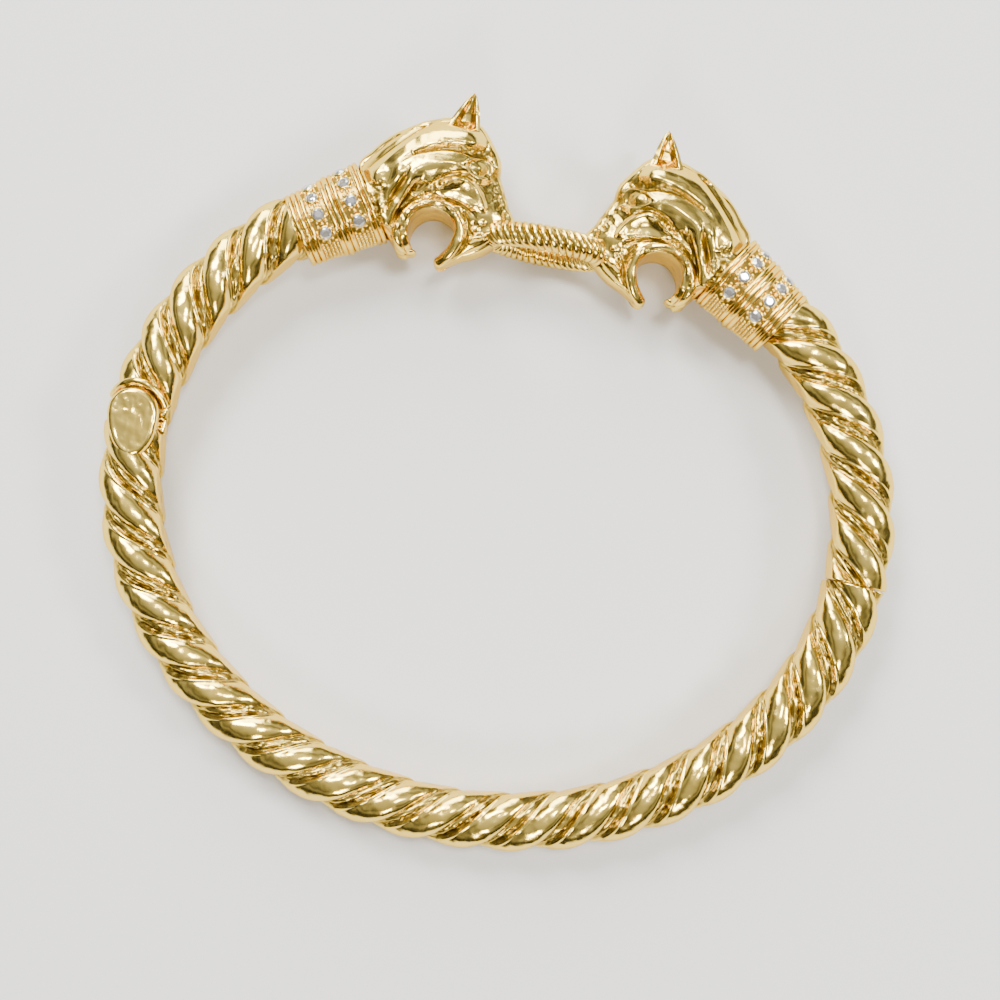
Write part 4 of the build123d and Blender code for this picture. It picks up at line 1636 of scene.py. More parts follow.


# A work's fifth number is the painted shade that it gives its grooves, hollows and grains
HEAD_WORK = [
    # Brow band from the nose over the eye to the collar, and the hollow under it with painted shade
    Work(Form.PATCH, ((5.0, 6.4), (6.2, 8.2), (7.4, 9.6), (9.0, 10.4), (11.0, 10.2), (12.6, 9.0),
                      (14.2, 7.3), (15.6, 5.6), (16.6, 4.2), (16.0, 3.0), (15.0, 4.6), (13.9, 6.0),
                      (12.4, 7.2), (10.8, 7.9), (9.2, 8.3), (7.8, 8.1), (6.6, 7.5),
                      (5.9, 6.5)), 0.95, 0.50),
    Work(Form.HOLLOW, ((6.3, 7.1), (6.9, 7.8), (8.0, 8.1), (9.4, 8.05), (10.8, 7.65), (12.2, 7.0),
                       (13.5, 6.2), (12.1, 6.75), (10.7, 7.25), (9.4, 7.4), (8.2, 7.25),
                       (7.2, 7.1)), 0.24, 0.42, 0.75),
    Work(Form.GROOVE, ((9.8, 7.85), (11.0, 7.5), (12.4, 6.8), (13.7, 5.9), (14.3, 5.2)), 0.15, 0.16, 0.8),
    Work(Form.GRAIN, ((6.4, 7.1), (6.8, 7.7), (7.8, 8.0), (9.0, 8.0), (9.8, 7.6), (8.9, 7.3),
                      (7.6, 7.3)), 0.3, 0.11, 0.9),
    Work(Form.GRAIN, ((5.5, 5.0), (5.3, 5.7), (5.8, 6.6), (6.1, 6.2), (6.0, 5.4),
                      (6.3, 4.9)), 0.3, 0.11, 0.9),
    # Crest: a groove with painted shade in it, with one thin strip outside it
    Work(Form.GROOVE, ((11.6, 9.55), (12.7, 8.85), (13.8, 7.95), (14.8, 6.95), (15.8, 5.85), (16.8, 4.7),
                       (17.4, 3.9)), 0.17, 0.26, 1.0),
    Work(Form.RIDGE, ((11.6, 9.9), (12.9, 9.1), (14.1, 8.15), (15.2, 7.1), (16.3, 5.85),
                      (17.3, 4.6)), 0.26, 0.12),
    # Cheek
    Work(Form.PATCH, ((8.4, 6.0), (9.2, 6.9), (10.5, 7.1), (11.9, 6.7), (13.3, 5.9), (14.3, 4.8),
                      (13.9, 3.9), (12.9, 3.9), (11.9, 4.3), (10.8, 4.9), (9.7, 5.5),
                      (8.9, 5.6)), 1.3, 0.62),
    # Eye: socket, ball, lids and the notch towards the nose, socket and notch with painted shade
    Work(Form.HOLLOW, ((6.1, 5.8), (6.3, 6.7), (7.0, 7.2), (7.9, 7.0), (8.4, 6.2), (7.8, 5.5),
                       (6.9, 5.3)), 0.30, 0.26, 0.45),
    Work(Form.PATCH, ((6.6, 5.9), (6.65, 6.5), (7.1, 6.8), (7.6, 6.7), (7.85, 6.2), (7.5, 5.7),
                      (7.0, 5.6)), 0.70, 0.55),
    Work(Form.RIDGE, ((5.9, 5.5), (6.2, 6.5), (7.0, 7.1), (7.9, 7.0), (8.6, 6.5), (9.3, 6.4)), 0.17, 0.20),
    Work(Form.RIDGE, ((5.8, 5.4), (6.7, 5.2), (7.6, 5.4), (8.4, 6.0), (9.2, 6.3)), 0.17, 0.15),
    Work(Form.HOLLOW, ((5.3, 5.2), (5.25, 5.8), (5.7, 6.2), (6.0, 5.8), (5.8, 5.3)), 0.25, 0.25, 0.8),
    # Nose and muzzle with the whisker lines
    Work(Form.PATCH, ((3.4, 2.4), (4.2, 4.0), (4.9, 5.2), (5.6, 5.1), (5.9, 4.3), (5.5, 3.2), (4.6, 2.3),
                      (3.8, 1.9)), 1.0, 0.10),
    Work(Form.GRAIN, ((3.2, 2.4), (3.9, 4.0), (4.8, 5.0), (5.6, 4.8), (6.4, 4.2), (5.7, 3.2),
                      (4.7, 2.2)), 0.5, 0.05, 0.5),
    Work(Form.GROOVE, ((3.9, 3.3), (4.6, 3.1), (5.3, 2.6)), 0.14, 0.06, 0.35),
    Work(Form.GROOVE, ((4.3, 4.1), (5.1, 3.8), (5.9, 3.2)), 0.14, 0.06, 0.35),
    Work(Form.GROOVE, ((4.9, 4.8), (5.7, 4.5), (6.6, 3.9)), 0.14, 0.06, 0.35),
    Work(Form.RIDGE, ((5.9, 5.2), (6.7, 5.0), (7.4, 4.8)), 0.2, 0.08),
    Work(Form.RIDGE, ((3.0, 2.1), (3.9, 1.6), (4.9, 0.9), (5.8, 0.4)), 0.28, 0.25),
    Work(Form.GROOVE, ((3.2, 1.5), (4.1, 1.0), (5.0, 0.4), (5.8, -0.05)), 0.12, 0.22, 0.8),
    # Leaf of the lip over the arch, hollow inside with a grained upper rim
    Work(Form.PATCH, ((5.8, 2.6), (6.6, 3.7), (7.5, 4.7), (8.7, 5.2), (9.7, 4.9), (10.7, 4.2), (11.7, 3.1),
                      (10.2, 3.15), (8.9, 3.2), (7.6, 2.9), (6.6, 2.4)), 0.3, 0.34),
    Work(Form.HOLLOW, ((6.9, 3.2), (7.6, 4.1), (8.5, 4.5), (9.3, 4.2), (10.0, 3.6), (8.8, 3.5),
                       (7.8, 3.2)), 0.5, 0.26),
    Work(Form.RIDGE, ((6.1, 3.1), (7.0, 4.25), (7.9, 4.95), (8.8, 5.1), (9.7, 4.7), (10.6, 3.95),
                      (11.5, 3.2)), 0.22, 0.15),
    Work(Form.GRAIN, ((8.9, 5.3), (9.9, 5.0), (10.9, 4.3), (11.8, 3.2), (11.2, 3.1), (10.1, 3.9),
                      (9.2, 4.6)), 0.2, 0.10, 0.9),
    Work(Form.GROOVE, ((6.3, 4.0), (7.3, 5.15), (8.5, 5.55), (9.6, 5.3), (10.6, 4.55),
                       (11.8, 3.4)), 0.16, 0.16, 0.6),
    Work(Form.RIDGE, ((6.2, 2.0), (7.2, 2.65), (8.4, 3.1), (9.8, 3.25), (11.2, 3.0)), 0.16, 0.16),
    Work(Form.GROOVE, ((6.6, 1.7), (7.6, 2.4), (8.7, 2.8), (9.9, 2.95), (11.2, 2.7),
                       (12.2, 2.2)), 0.15, 0.22, 0.8),
    Work(Form.HOLLOW, ((11.4, 4.1), (11.9, 4.2), (12.5, 3.7), (12.9, 3.0), (12.4, 2.8),
                       (11.8, 3.3)), 0.22, 0.24, 0.9),
    # Long locks of fur behind the jaw
    Work(Form.RIDGE, ((12.7, 5.0), (13.1, 4.1), (13.5, 2.9), (14.0, 1.5), (14.4, 0.2),
                      (14.5, -0.8)), 0.40, 0.32),
    Work(Form.RIDGE, ((13.9, 5.3), (14.2, 4.3), (14.7, 3.1), (15.2, 2.0)), 0.38, 0.26),
    Work(Form.GROOVE, ((13.2, 5.3), (13.6, 4.1), (14.15, 2.8), (14.6, 1.6),
                       (14.95, 0.6)), 0.16, 0.28, 0.95),
    Work(Form.GROOVE, ((12.1, 4.6), (12.6, 3.4), (13.1, 2.3), (13.6, 1.1), (14.0, -0.5)), 0.17, 0.30, 1.0),
    Work(Form.GRAIN, ((14.9, 3.4), (15.9, 3.6), (16.4, 2.4), (16.2, 0.6), (15.2, -1.4), (14.4, -1.2),
                      (14.9, 0.6), (15.2, 1.8)), 0.4, 0.11, 1.0),
    # Rims of the arch
    Work(Form.BAND, ((9.1, -2.9), (8.3, -1.7), (7.85, -0.5), (7.8, 0.6), (8.25, 1.75), (9.2, 2.45),
                     (10.4, 2.7), (11.6, 2.35), (12.6, 1.65), (13.2, 0.6), (13.4, -0.6), (13.1, -1.8),
                     (12.4, -3.0)), 0.40, 0.30, 0.0, False),
    Work(Form.GROOVE, ((8.0, -2.3), (7.3, -1.2), (7.05, -0.1), (7.2, 1.0),
                       (7.8, 2.0)), 0.15, 0.18, 0.7, False),
    Work(Form.GROOVE, ((11.2, 3.0), (12.4, 2.5), (13.35, 1.35), (13.75, 0.3),
                       (13.8, -0.8)), 0.15, 0.24, 0.9),
    Work(Form.GROOVE, ((8.3, 1.3), (9.0, 1.9), (10.2, 2.2), (11.4, 1.95), (12.3, 1.3), (12.8, 0.2),
                       (12.9, -1.0)), 0.13, 0.12, 0.6),
    Work(Form.GRAIN, ((11.6, 3.0), (12.8, 2.2), (13.6, 0.9), (13.8, -0.4), (13.4, -1.2), (13.0, -1.0),
                      (13.0, 0.2), (12.3, 1.4), (11.3, 2.1)), 0.25, 0.06, 0.1),
    # Teeth at the corner of the mouth
    Work(Form.RIDGE, ((6.5, 0.75), (6.8, 0.6)), 0.28, 0.24, 0.0, False),
    Work(Form.RIDGE, ((6.0, 0.1), (6.3, 0.0)), 0.28, 0.24, 0.0, False),
    Work(Form.RIDGE, ((6.6, -0.2), (6.8, -0.3)), 0.26, 0.22, 0.0, False),
    Work(Form.RIDGE, ((6.0, 1.4), (6.2, 1.3)), 0.26, 0.2, 0.0, False),
    # Fur of the lower jaw
    Work(Form.GROOVE, ((6.2, 1.2), (6.6, 0.4), (7.0, -0.6)), 0.10, 0.13, 0.5),
    Work(Form.GROOVE, ((6.7, 1.4), (7.0, 0.4), (7.3, -0.8)), 0.10, 0.13, 0.5),
    Work(Form.RIDGE, ((6.1, 0.9), (6.4, 0.1), (7.0, -0.9)), 0.2, 0.15),
]


def worked(spots: np.ndarray, works: list[Work]) -> tuple[np.ndarray, np.ndarray]:
    """Height and painted shade that the worked lines and patches give at each spot.

    Args:
        spots: Places on the head as seen from above.
        works: The lines and patches.

    Returns:
        Heights in millimetres, and painted shade from 0 to 1.
    """
    height = np.zeros(len(spots))
    shade = np.zeros(len(spots))
    for work in works:
        path = np.array(work.path, float)
        margin = 3 * work.width + 0.2
        low, high = path.min(axis=0) - margin, path.max(axis=0) + margin
        near = np.flatnonzero(np.all((spots > low) & (spots < high), axis=1))
        if not len(near):
            continue
        amount = work.amount(spots[near])
        sign = -1 if work.form in SUNK else 1
        dark = work.shade * amount
        # Grain: bumps and pits, with painted shade in the pits
        if work.form is Form.GRAIN:
            sign = speckle(spots[near], GRAIN_SIZE)
            dark = dark * np.clip(0.5 - sign, 0, 1)
        height[near] += sign * work.height * amount
        shade[near] = np.maximum(shade[near], dark)
    return height, shade


# Half the head round its arch: direction in degrees, way to the outline as a share of
# reach, and heights as shares of half at the arch, at two places between and at the outline
HEAD_ROWS = np.array([
    [-47, 0.262, 0.24, 0.24, 0.22, 0.18],
    [-40, 0.300, 0.42, 0.42, 0.40, 0.30],
    [-31, 0.332, 0.54, 0.56, 0.52, 0.38],
    [-20, 0.362, 0.64, 0.66, 0.62, 0.38],
    [-12, 0.392, 0.66, 0.70, 0.66, 0.40],
    [0, 0.480, 0.70, 0.76, 0.80, 0.70],
    [15, 0.605, 0.72, 0.84, 0.90, 0.88],
    [25, 0.730, 0.74, 0.90, 0.90, 0.82],
    [34, 0.905, 0.74, 0.94, 0.82, 0.32],
    [45, 0.922, 0.74, 0.97, 0.76, 0.28],
    [60, 0.966, 0.72, 1.00, 0.78, 0.28],
    [75, 0.995, 0.70, 1.00, 0.84, 0.31],
    [90, 1.020, 0.68, 1.00, 0.92, 0.37],
    [102, 1.035, 0.66, 0.98, 0.94, 0.43],
    [112, 0.935, 0.64, 0.90, 0.84, 0.46],
    [122, 0.850, 0.62, 0.84, 0.66, 0.46],
    [131, 0.772, 0.60, 0.78, 0.60, 0.42],
    [140, 0.732, 0.60, 0.74, 0.62, 0.42],
    [150, 0.710, 0.58, 0.72, 0.66, 0.46],
    [158, 0.726, 0.56, 0.66, 0.62, 0.42],
    [166, 0.712, 0.54, 0.60, 0.55, 0.40],
    [177, 0.575, 0.52, 0.55, 0.52, 0.40],
    [190, 0.455, 0.50, 0.50, 0.48, 0.38],
    [206, 0.335, 0.44, 0.42, 0.40, 0.32],
    [224, 0.292, 0.36, 0.34, 0.32, 0.26],
    [243, 0.275, 0.22, 0.21, 0.20, 0.17],
])
# Share of the way from the arch's rim to the outline, and how much each of the four heights counts
HEAD_COLUMNS = np.array([
    [0.00, 1.00, 0.00, 0.00, 0.00],
    [0.18, 0.45, 0.55, 0.00, 0.00],
    [0.38, 0.08, 0.92, 0.00, 0.00],
    [0.58, 0.00, 0.90, 0.10, 0.00],
    [0.76, 0.00, 0.00, 1.00, 0.00],
    [0.90, 0.00, 0.00, 0.58, 0.42],
    [1.00, 0.00, 0.00, 0.00, 1.00],
])
# Shares of the way out over which those counts are softened, and the weight of each
SOFTENING = ((-0.07, 0.15), (-0.035, 0.2), (0.0, 0.3), (0.035, 0.2), (0.07, 0.15))


def through_rows(rows: np.ndarray, places: np.ndarray) -> np.ndarray:
    """Rows of a table at fractional places, on a smooth curve through them.

    Args:
        rows: The table.
        places: Places to find rows at, where 0 is the first row and 1 the second.

    Returns:
        One row for each place.
    """
    i = np.minimum(places.astype(int), len(rows) - 2)
    t = (places - i)[:, None]
    a, b, c, d = rows[np.maximum(i - 1, 0)], rows[i], rows[i + 1], rows[np.minimum(i + 2, len(rows) - 1)]
    slope_b, slope_c = (c - a) / 2, (d - b) / 2
    cube = 2 * b - 2 * c + slope_b + slope_c
    square = 3 * (c - b) - 2 * slope_b - slope_c
    return cube * t ** 3 + square * t ** 2 + slope_b * t + b


def height_counts(share: np.ndarray) -> np.ndarray:
    """How much each of a row's four heights counts on the way out.

    Args:
        share: Shares of the way from the arch's rim to the outline.

    Returns:
        Four counts for each share.
    """
    found = np.zeros((len(share), 4))
    for shift, weight in SOFTENING:
        at = np.clip(share + shift, 0, 1)
        counts = [np.interp(at, HEAD_COLUMNS[:, 0], HEAD_COLUMNS[:, k]) for k in range(1, 5)]
        found += weight * np.stack(counts, axis=1)
    return found


@dataclass(frozen=True)
class Ear:
    """A pointed ear that is hollow within a rim.

    Its corners, depth, thickness and rim are in millimetres from its root. The rest
    are shares of its width and height, and powers of its curves.
    """

    front: tuple[float, float, float] = (-2.65, 0.35, 2.6)
    back: tuple[float, float, float] = (0.85, 0.30, 2.5)
    tip: tuple[float, float, float] = (-1.45, 4.3, 2.9)
    depth: float = 0.6
    thick: float = 1.7
    least: float = 0.12
    rim: float = 0.10
    rim_spread: float = 1.6
    pointed: float = 0.66
    thinning: float = 0.8
    hollow_start: float = 0.22
    hollow_way: float = 0.34
    hollow_narrowing: float = 0.5
    hollow_tip: float = 0.92
    hollow_tip_way: float = 0.35
    # Painted shade in the ear's hollow
    dark: float = 0.45
    grid: int = 41

    def points(self) -> tuple[np.ndarray, np.ndarray]:
        """The ear's face and its back, each a grid.

        Returns:
            The points of both, and how deep each lies in the hollow, from 0 to 1.
        """
        u = np.linspace(0, 1, self.grid)[:, None]
        v = np.linspace(0, 1, self.grid)[None, :]
        front, back, tip = np.array(self.front), np.array(self.back), np.array(self.tip)
        centre = (front + back) / 2
        aside = (front - centre) * (1 - 2 * u)[..., None] * ((1 - v) ** self.pointed)[..., None]
        flat = centre + aside + (tip - centre) * v[..., None]
        inward = 1 - np.abs(2 * u - 1)
        t = (inward * (1 - self.hollow_narrowing * v) - self.hollow_start) / self.hollow_way
        t = np.clip(t, 0, 1)
        hollow = eased(t) * np.clip((self.hollow_tip - v) / self.hollow_tip_way, 0, 1)
        swell = self.rim * np.sin(np.pi * np.clip(self.rim_spread * inward, 0, 1)) * (1 - hollow)
        face = flat - UP * (self.depth * hollow)[..., None] + UP * swell[..., None]
        roll = 1 - np.abs(2 * u - 1) ** 3
        rear = flat - UP * self.least
        rear = rear - UP * (self.thick * roll * (1 - v) ** self.thinning)[..., None]
        both = np.concatenate([face.reshape(-1, 3), rear.reshape(-1, 3)])
        return both, np.concatenate([hollow.ravel(), np.zeros(self.grid ** 2)])

    def faces(self) -> list[list[int]]:
        """Faces of the two grids and of the edge between them.

        Returns:
            The faces as lists of vertex numbers.
        """
        n = self.grid
        half = n * n
        faces = []
        for i in range(n - 1):
            for j in range(n - 1):
                a, b, c, d = i * n + j, (i + 1) * n + j, (i + 1) * n + j + 1, i * n + j + 1
                faces.append([a, b, c, d])
                faces.append([half + d, half + c, half + b, half + a])
        edge = [i * n for i in range(n)] + [(n - 1) * n + j for j in range(1, n)]
        edge += [i * n + n - 1 for i in range(n - 2, -1, -1)] + list(range(n - 2, 0, -1))
        for a, b in zip(edge, edge[1:] + edge[:1]):
            faces.append([a, b, half + b, half + a])
        return faces


@dataclass
class Head:
    """A feline head round its throat arch, in millimetres of the flat bangle.

    The mouth is cut to a half width, a half depth and a half height.
    """

    arch: tuple[float, float] = (10.2122, 21.9788)
    arch_radius: float = 2.1
    rim: float = 0.6
    rim_rise: float = 0.3
    reach: float = 10.27
    half: float = 4.0
    neck: float = 3.55
    neck_origin: tuple[float, float] = (16.3222, 23.9687)
    neck_axis: tuple[float, float] = (-0.838652, 0.544667)
    around: int = 490
    across: int = 104
    wall_steps: int = 6
    rim_steps: int = 10
    edge_steps: int = 9
    edge_by_height: float = 0.45
    edge_by_way: float = 0.3
    edge_most: float = 0.6
    edge_at_neck: float = 0.2
    edge_bulge: float = 0.85
    calm_height: float = 0.8
    steepest: float = -0.2
    end_steps: int = 5
    end_rise: float = 0.5
    ear: Ear = Ear()
    ear_root: float = 8.5
    mouth: tuple[float, float, float] = (6.262, 1.2, 1.75)
    ring_out: float = 23.1788
    view_height: float = 208.0
    view_out: float = -27.15
    middle: float = 22.85

    def seen(self, points: np.ndarray) -> np.ndarray:
        """Where points show in the view from above.

        Args:
            points: Points of the flat bangle.

        Returns:
            Their places from the ring's centre.
        """
        x, y, z = points.T
        lift = np.abs(z) / self.view_height
        return np.stack([x * (1 + lift), y - self.middle + (y - self.view_out) * lift], axis=1)

    def rows(self) -> np.ndarray:
        """The head's rows, evenly spaced along its outline.

        Returns:
            Rows with the columns of HEAD_ROWS.
        """
        fine = np.linspace(0, len(HEAD_ROWS) - 1, FINE_STEPS)
        rows = through_rows(HEAD_ROWS, fine)
        a = np.radians(rows[:, 0])
        lengths = lengths_along(rows[:, 1:2] * np.stack([np.cos(a), np.sin(a)], axis=1))
        return through_rows(HEAD_ROWS, np.interp(np.linspace(0, lengths[-1], self.around), lengths, fine))

    def to_neck(self, ray: np.ndarray, reach: np.ndarray, crest: np.ndarray) -> tuple[np.ndarray, ...]:
        """Ends the head at the round face that meets the collar.

        Args:
            ray: Direction of each row.
            reach: Way to the outline.
            crest: Height at the outline.

        Returns:
            Way and height with that face, and whether a row ends at it.
        """
        centre, origin, axis = np.array(self.arch), np.array(self.neck_origin), np.array(self.neck_axis)
        toward = -ray @ axis
        way = np.where(toward > 1e-6, ((centre - origin) @ axis) / np.maximum(toward, 1e-6), np.inf)
        at_neck = way < reach
        reach = np.where(at_neck, way, reach)
        spot = centre + ray * reach[:, None]
        aside = (spot - origin) @ np.array([axis[1], -axis[0]])
        circle = np.sqrt(np.maximum(self.neck ** 2 - aside ** 2, 0))
        return reach, np.where(at_neck, np.maximum(crest, circle), crest), at_neck

    def skin(self) -> np.ndarray:
        """Half of the bare head over the flat plane.

        Returns:
            Points from the arch to the outline for each direction.
        """
        rows = self.rows()
        a = np.radians(rows[:, 0])
        ray = np.stack([np.cos(a), np.sin(a)], axis=1)
        reach, crest, at_neck = self.to_neck(ray, rows[:, 1] * self.reach, rows[:, 5] * self.half)
        body = reach - self.arch_radius - self.rim
        share = np.linspace(0, 1, self.across)
        thick = np.concatenate([rows[:, 2:5] * self.half, crest[:, None]], axis=1)
        heights = thick @ height_counts(share).T
        edge = np.minimum(self.edge_by_height * heights[:, -1], self.edge_by_way * body)
        edge = np.minimum(edge, self.edge_most)
        edge = np.where(at_neck, np.minimum(edge, self.edge_at_neck), edge)[:, None]
        start = self.arch_radius + self.rim
        wall = np.linspace(0, 1, self.wall_steps + 1)[None, :-1]
        over = np.linspace(0, math.pi, self.rim_steps + 1)[None, :-1]
        down = np.linspace(0, math.pi / 2, self.edge_steps + 1)[None, 1:]
        base, same = thick[:, :1], np.ones((self.around, 1))
        outs = [
            same * self.arch_radius * np.ones_like(wall),
            same * (self.arch_radius + self.rim * (1 - np.cos(over)) / 2),
            start + share[None, :] * (body[:, None] - edge),
            (start + body[:, None] - edge) + edge * np.sin(down) ** self.edge_bulge,
        ]
        ups = [
            base * wall,
            base + self.rim_rise * np.sin(over),
            heights,
            heights[:, -1:] * np.cos(down) ** self.edge_bulge,
        ]
        out, up = np.concatenate(outs, axis=1), np.concatenate(ups, axis=1)
        flat = np.array(self.arch) + ray[:, None, :] * out[:, :, None]
        return np.concatenate([flat, up[:, :, None]], axis=2)

    def normals(self, points: np.ndarray) -> np.ndarray:
        """Outward unit normals of the skin.

        Args:
            points: Its grid of points.

        Returns:
            One normal for each point.
        """
        along = np.gradient(points, axis=0)
        over = np.gradient(points, axis=1)
        normal = np.cross(over, along)
        length = np.linalg.norm(normal, axis=2, keepdims=True)
        normal = normal / np.maximum(length, 1e-9)
        flip = np.where(normal[..., 2:] < self.steepest, -1.0, 1.0)
        return normal * flip

    def sculpted(self, works: list[Work]) -> tuple[np.ndarray, np.ndarray]:
        """The half head with its worked lines and patches.

        Args:
            works: The lines and patches.

        Returns:
            Grid of points, and the painted shade of each.
        """
        points = self.skin()
        spots = self.seen(points.reshape(-1, 3))
        height, shade = worked(spots, works)
        height = height.reshape(points.shape[:2])
        shade = shade.reshape(points.shape[:2])
        away = np.clip(points[..., 2] / self.calm_height, 0, 1)
        outward = self.normals(points)
        shaped = points + outward * (height * away)[..., None]
        shaped[:, 0, 2] = 0.0
        shaped[:, -1, 2] = 0.0
        return shaped, shade * away

    def end(self, ring: np.ndarray, middle: np.ndarray, before: np.ndarray) -> list[np.ndarray]:
        """Rings of the small dome that closes one end of the skin.

        Args:
            ring: The skin's last ring there.
            middle: Its middle.
            before: The middle of a ring before it.

        Returns:
            The rings, from the skin outwards.
        """
        tangent = (middle - before) / np.linalg.norm(middle - before)
        rings = []
        for t in np.linspace(0, math.pi / 2, self.end_steps + 1)[1:]:
            shrunk = CAP_END + (1 - CAP_END) * math.cos(t)
            rings.append(middle + (ring - middle) * shrunk + tangent * self.end_rise * math.sin(t))
        return rings

    def body(
        self, name: str, side: Side, works: list[Work], material: bpy.types.Material
    ) -> bpy.types.Object:
        """The head without its ears, with the mouth cut.

        Args:
            name: Name of the piece.
            side: The wearer's side.
            works: Its lines and patches.
            material: Its finish.

        Returns:
            The finished piece.
        """
        half, shade = self.sculpted(works)
        under = half[:, -3:0:-2] * [1, 1, -1]
        grid = np.concatenate([half, under], axis=1)
        dark = np.concatenate([shade, shade[:, -3:0:-2]], axis=1)
        middle = (half[:, :1] + half[:, -1:]) / 2
        first = self.end(grid[0], middle[0], middle[2])[::-1]
        last = self.end(grid[-1], middle[-1], middle[-3])
        grid = np.concatenate([np.array(first), grid, np.array(last)])
        rings, around = grid.shape[:2]
        bright = np.zeros((self.end_steps, around))
        dark = np.concatenate([bright, dark, bright])
        faces = ring_faces(rings, around)
        faces.append(list(range(around)))
        faces.append([(rings - 1) * around + j for j in range(around)][::-1])
        points = LIE.row(grid.reshape(-1, 3) * side.flip)
        made = placed(name, mesh_of(name, points, faces, recess=dark.ravel()), material)
        settle(made, Crease.CARVED)
        wide, high, rise = self.mouth
        near, far, edge = self.ring_out - high, self.ring_out + high, side.value * wide
        corners = [(0, near), (edge, near), (edge, far), (0, far)]
        carved(made, prism(corners if side is Side.RIGHT else corners[::-1], -rise, rise))
        return made

    def ears(self, name: str, side: Side, material: bpy.types.Material) -> list[bpy.types.Object]:
        """The two ears.

        Args:
            name: Start of the pieces' names.
            side: The wearer's side.
            material: Their finish.

        Returns:
            The ear above and the ear below.
        """
        made = []
        points, hollow = self.ear.points()
        points = points + np.array([self.arch[0], self.arch[1] + self.ear_root, 0])
        for level in (1, -1):
            shown = LIE.row(points * [side.value, 1, level])
            mesh = mesh_of(name, shown, self.ear.faces(), recess=self.ear.dark * hollow)
            piece = placed(f"{name}_{level}", mesh, material)
            merge_close(piece)
            settle(piece, Crease.ROUNDED)
            made.append(piece)
        return made


@dataclass(frozen=True)
class Lamp:
    """A square soft light aimed at the bangle, in metres and watts."""

    name: str
    place: tuple[float, float, float]
    size: float
    power: float
    color: tuple[float, float, float] = (1.0, 1.0, 1.0)

    def hang(self, aim: Vector) -> None:
        """Sets the light up.

        Args:
            aim: The point it shines at.
        """
        data = bpy.data.lights.new(self.name, "AREA")
        data.size = self.size
        data.energy = self.power
        data.color = self.color
        made = bpy.data.objects.new(self.name, data)
        made.location = self.place
        made.rotation_euler = (aim - Vector(self.place)).to_track_quat("-Z", "Y").to_euler()
        bpy.context.scene.collection.objects.link(made)


LAMPS = (
    Lamp("window", (-0.25, 0.30, 0.45), 0.22, 5.0, (1.0, 0.98, 0.95)),
    Lamp("low_window", (-0.15, 0.52, 0.22), 0.30, 3.5, (0.92, 0.96, 1.0)),
    Lamp("side", (0.40, 0.05, 0.35), 0.12, 2.2),
    Lamp("back", (0.05, -0.42, 0.35), 0.12, 1.8, (1.0, 0.95, 0.88)),
    Lamp("top", (0.08, 0.10, 0.60), 0.10, 1.8),
)


@dataclass
class Studio:
    """Floor, light and camera, in metres."""

    size: float = 3.0
    eye: tuple[float, float, float] = (0.000145, -0.01537, 0.1568)
    aim: tuple[float, float, float] = (0.00025, -0.00194, 0.0045)
    roll: float = 11.39
    sees: float = 0.08892
    sensor_mm: float = 36.0
    clip: float = 0.005
    ground: tuple[float, float, float] = (0.06, 0.055, 0.05)
    overhead: tuple[float, float, float] = (1.0, 1.0, 1.02)
    bands: Curve = ((0.35, 0.10), (0.52, 0.75), (0.68, 0.12), (0.86, 0.80))
    band_blue: float = 0.98
    near: float = 0.35
    far: float = 1.25

    def floor(self, material: bpy.types.Material) -> bpy.types.Object:
        """Lays the plain floor.

        Args:
            material: Its finish.

        Returns:
            The floor.
        """
        half = self.size / 2
        points = np.array([(-half, -half, 0), (half, -half, 0), (half, half, 0), (-half, half, 0)])
        made = placed("floor", mesh_of("floor", points, [[0, 1, 2, 3]]), material)
        return made

    def camera(self) -> None:
        """A camera above the bangle, tipped towards its back."""
        data = bpy.data.cameras.new("camera")
        eye, aim = Vector(self.eye), Vector(self.aim)
        sight = aim - eye
        data.sensor_width = self.sensor_mm
        data.lens = self.sensor_mm * sight.length / self.sees
        data.clip_start = self.clip
        made = bpy.data.objects.new("camera", data)
        bpy.context.scene.collection.objects.link(made)
        turn = sight.to_track_quat("-Z", "Y").to_matrix() @ Matrix.Rotation(math.radians(self.roll), 3, "Z")
        made.matrix_world = Matrix.Translation(eye) @ turn.to_4x4()
        bpy.context.scene.camera = made

    def lights(self) -> None:
        """Hangs the lamps."""
        for lamp in LAMPS:
            lamp.hang(Vector(self.aim))

    def sky(self) -> None:
        """Makes soft grey surroundings in bands, darker towards the back."""
        world = bpy.data.worlds.new("studio")
        world.use_nodes = True
        work = NodeWork(world.node_tree)
        place = work.node("ShaderNodeTexCoord").outputs["Generated"]
        parts = work.node("ShaderNodeSeparateXYZ", {"Vector": place}).outputs
        ramp = work.node("ShaderNodeValToRGB", {"Fac": parts["Z"]})
        steps = ramp.color_ramp.elements
        steps[0].position, steps[0].color = 0.0, (*self.ground, 1.0)
        steps[1].position, steps[1].color = 1.0, (*self.overhead, 1.0)
        for height, tone in self.bands:
            steps.new(height).color = (tone, tone, tone * self.band_blue, 1.0)
        reach = {"Value": parts["Y"], "From Min": -1.0, "To Min": self.near, "To Max": self.far}
        strength = work.node("ShaderNodeMapRange", reach).outputs["Result"]
        ground = world.node_tree.nodes["Background"].inputs
        world.node_tree.links.new(strength, ground["Strength"])
        world.node_tree.links.new(ramp.outputs["Color"], ground["Color"])
        bpy.context.scene.world = world


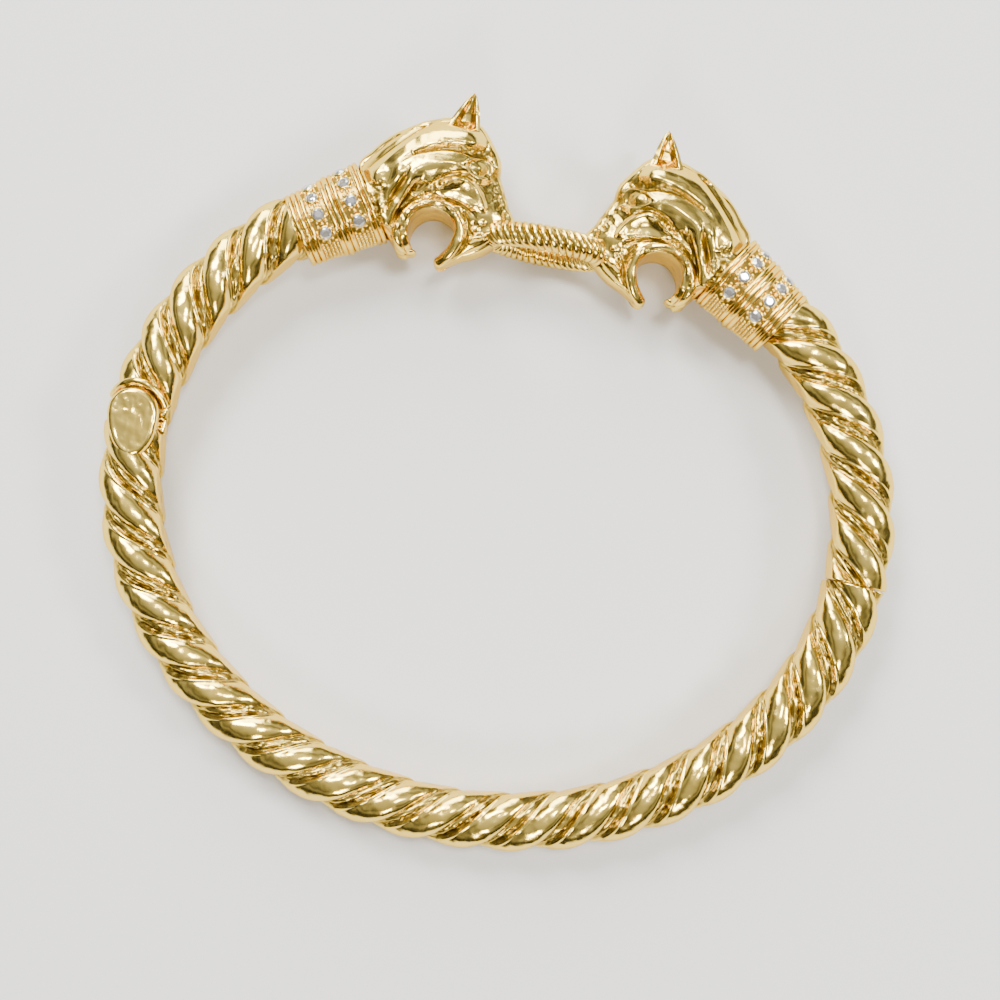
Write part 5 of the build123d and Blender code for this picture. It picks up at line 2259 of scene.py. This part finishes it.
def arms_and_collars(
    rope: Rope, hinge: Hinge, collar: Collar, gold: bpy.types.Material
) -> list[bpy.types.Object]:
    """Builds both arms and both collars.

    Args:
        rope: The rope.
        hinge: Its hinge.
        collar: The collar.
        gold: Their finish.

    Returns:
        The four pieces.
    """
    made = []
    for side in Side:
        word = side.name.lower()
        plane = collar.foot(side)
        arm = rope.left(hinge, plane, gold) if side is Side.LEFT else rope.right(hinge, plane, gold)
        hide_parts(f"{word}_arm")
        drum = collar.drum(f"{word}_collar_gold", side, gold)
        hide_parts(f"{word}_collar")
        made += [arm, drum]
        LOG.info("%s arm: %d faces", word, len(arm.data.polygons))
        LOG.info("%s collar: %d faces", word, len(drum.data.polygons))
    return made


def settings(collar: Collar, gold: bpy.types.Material, gem: bpy.types.Material) -> list[bpy.types.Object]:
    """Sets the stones, and builds what holds and surrounds them.

    Args:
        collar: The collar that they sit on.
        gold: Finish of beads and rims.
        gem: Finish of the stones.

    Returns:
        The gold pieces.
    """
    made = []
    setting = setting_growth("setting_growth")
    stone, ball, rim = brilliant("cut_stone"), grain("gold_ball"), bezel("stone_rim")
    for side in Side:
        word = side.name.lower()
        places = collar.points(side, collar.stone_places())
        stones = setting.grow(f"{word}_stones", places, {"Piece": stone, "Material": gem})
        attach(stones, "front")
        bands = ("rope_band", "head_band")
        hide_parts(*[f"{word}_{band}_stone_{i + 1}" for band in bands for i in range(collar.stones)])
        places = collar.points(side, collar.bead_places())
        beads = setting.grow(f"{word}_beads", places, {"Piece": ball, "Material": gold})
        beads.data.shade_smooth()
        places = collar.points(side, collar.bezel_places())
        rims = setting.grow(f"{word}_rims", places, {"Piece": rim, "Material": gold})
        settle(rims, Crease.RIMMED)
        made += [beads, rims]
        LOG.info("%s stones: %d faces", word, len(stones.data.polygons))
        LOG.info("%s beads: %d faces", word, len(beads.data.polygons))
        LOG.info("%s rims: %d faces", word, len(rims.data.polygons))
    return made


def heads(head: Head, gold: bpy.types.Material) -> list[bpy.types.Object]:
    """Builds both heads with their ears.

    Args:
        head: The head.
        gold: Its finish.

    Returns:
        The six pieces.
    """
    made = []
    for side in Side:
        word = side.name.lower()
        body = head.body(f"{word}_head_gold", side, HEAD_WORK, gold)
        ears = head.ears(f"{word}_ear", side, gold)
        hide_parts(f"{word}_head")
        made += [body, *ears]
        LOG.info("%s head: %d faces", word, len(body.data.polygons))
        LOG.info("%s ears: %d faces", word, sum(len(ear.data.polygons) for ear in ears))
    return made


def main() -> None:
    """Builds every piece, dresses it and sets up the studio."""
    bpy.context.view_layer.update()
    gold = GoldFinish("polished_gold").build()
    gem = GemFinish("clear_stone").build()
    hinge, rope, collar = Hinge(), Rope(), Collar()

    back = rope.back(hinge, gold)
    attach(back, "back")
    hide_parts("back_rope")
    LOG.info("back rope: %d faces", len(back.data.polygons))

    front = arms_and_collars(rope, hinge, collar, gold)
    front += settings(collar, gold, gem)
    front += heads(Head(), gold)
    ring = MouthRing().build("mouth_ring_gold", gold)
    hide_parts("mouth_ring")
    front.append(ring)
    LOG.info("mouth ring: %d faces", len(ring.data.polygons))
    for piece in front:
        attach(piece, "front")
    for name in ("hinge_pin", "clasp_tongue"):
        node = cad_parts[name]
        node.data.materials.clear()
        node.data.materials.append(gold)

    studio = Studio()
    studio.floor(FloorFinish("pale_floor").build())
    studio.camera()
    studio.lights()
    studio.sky()


if __name__ == "__main__":
    main()
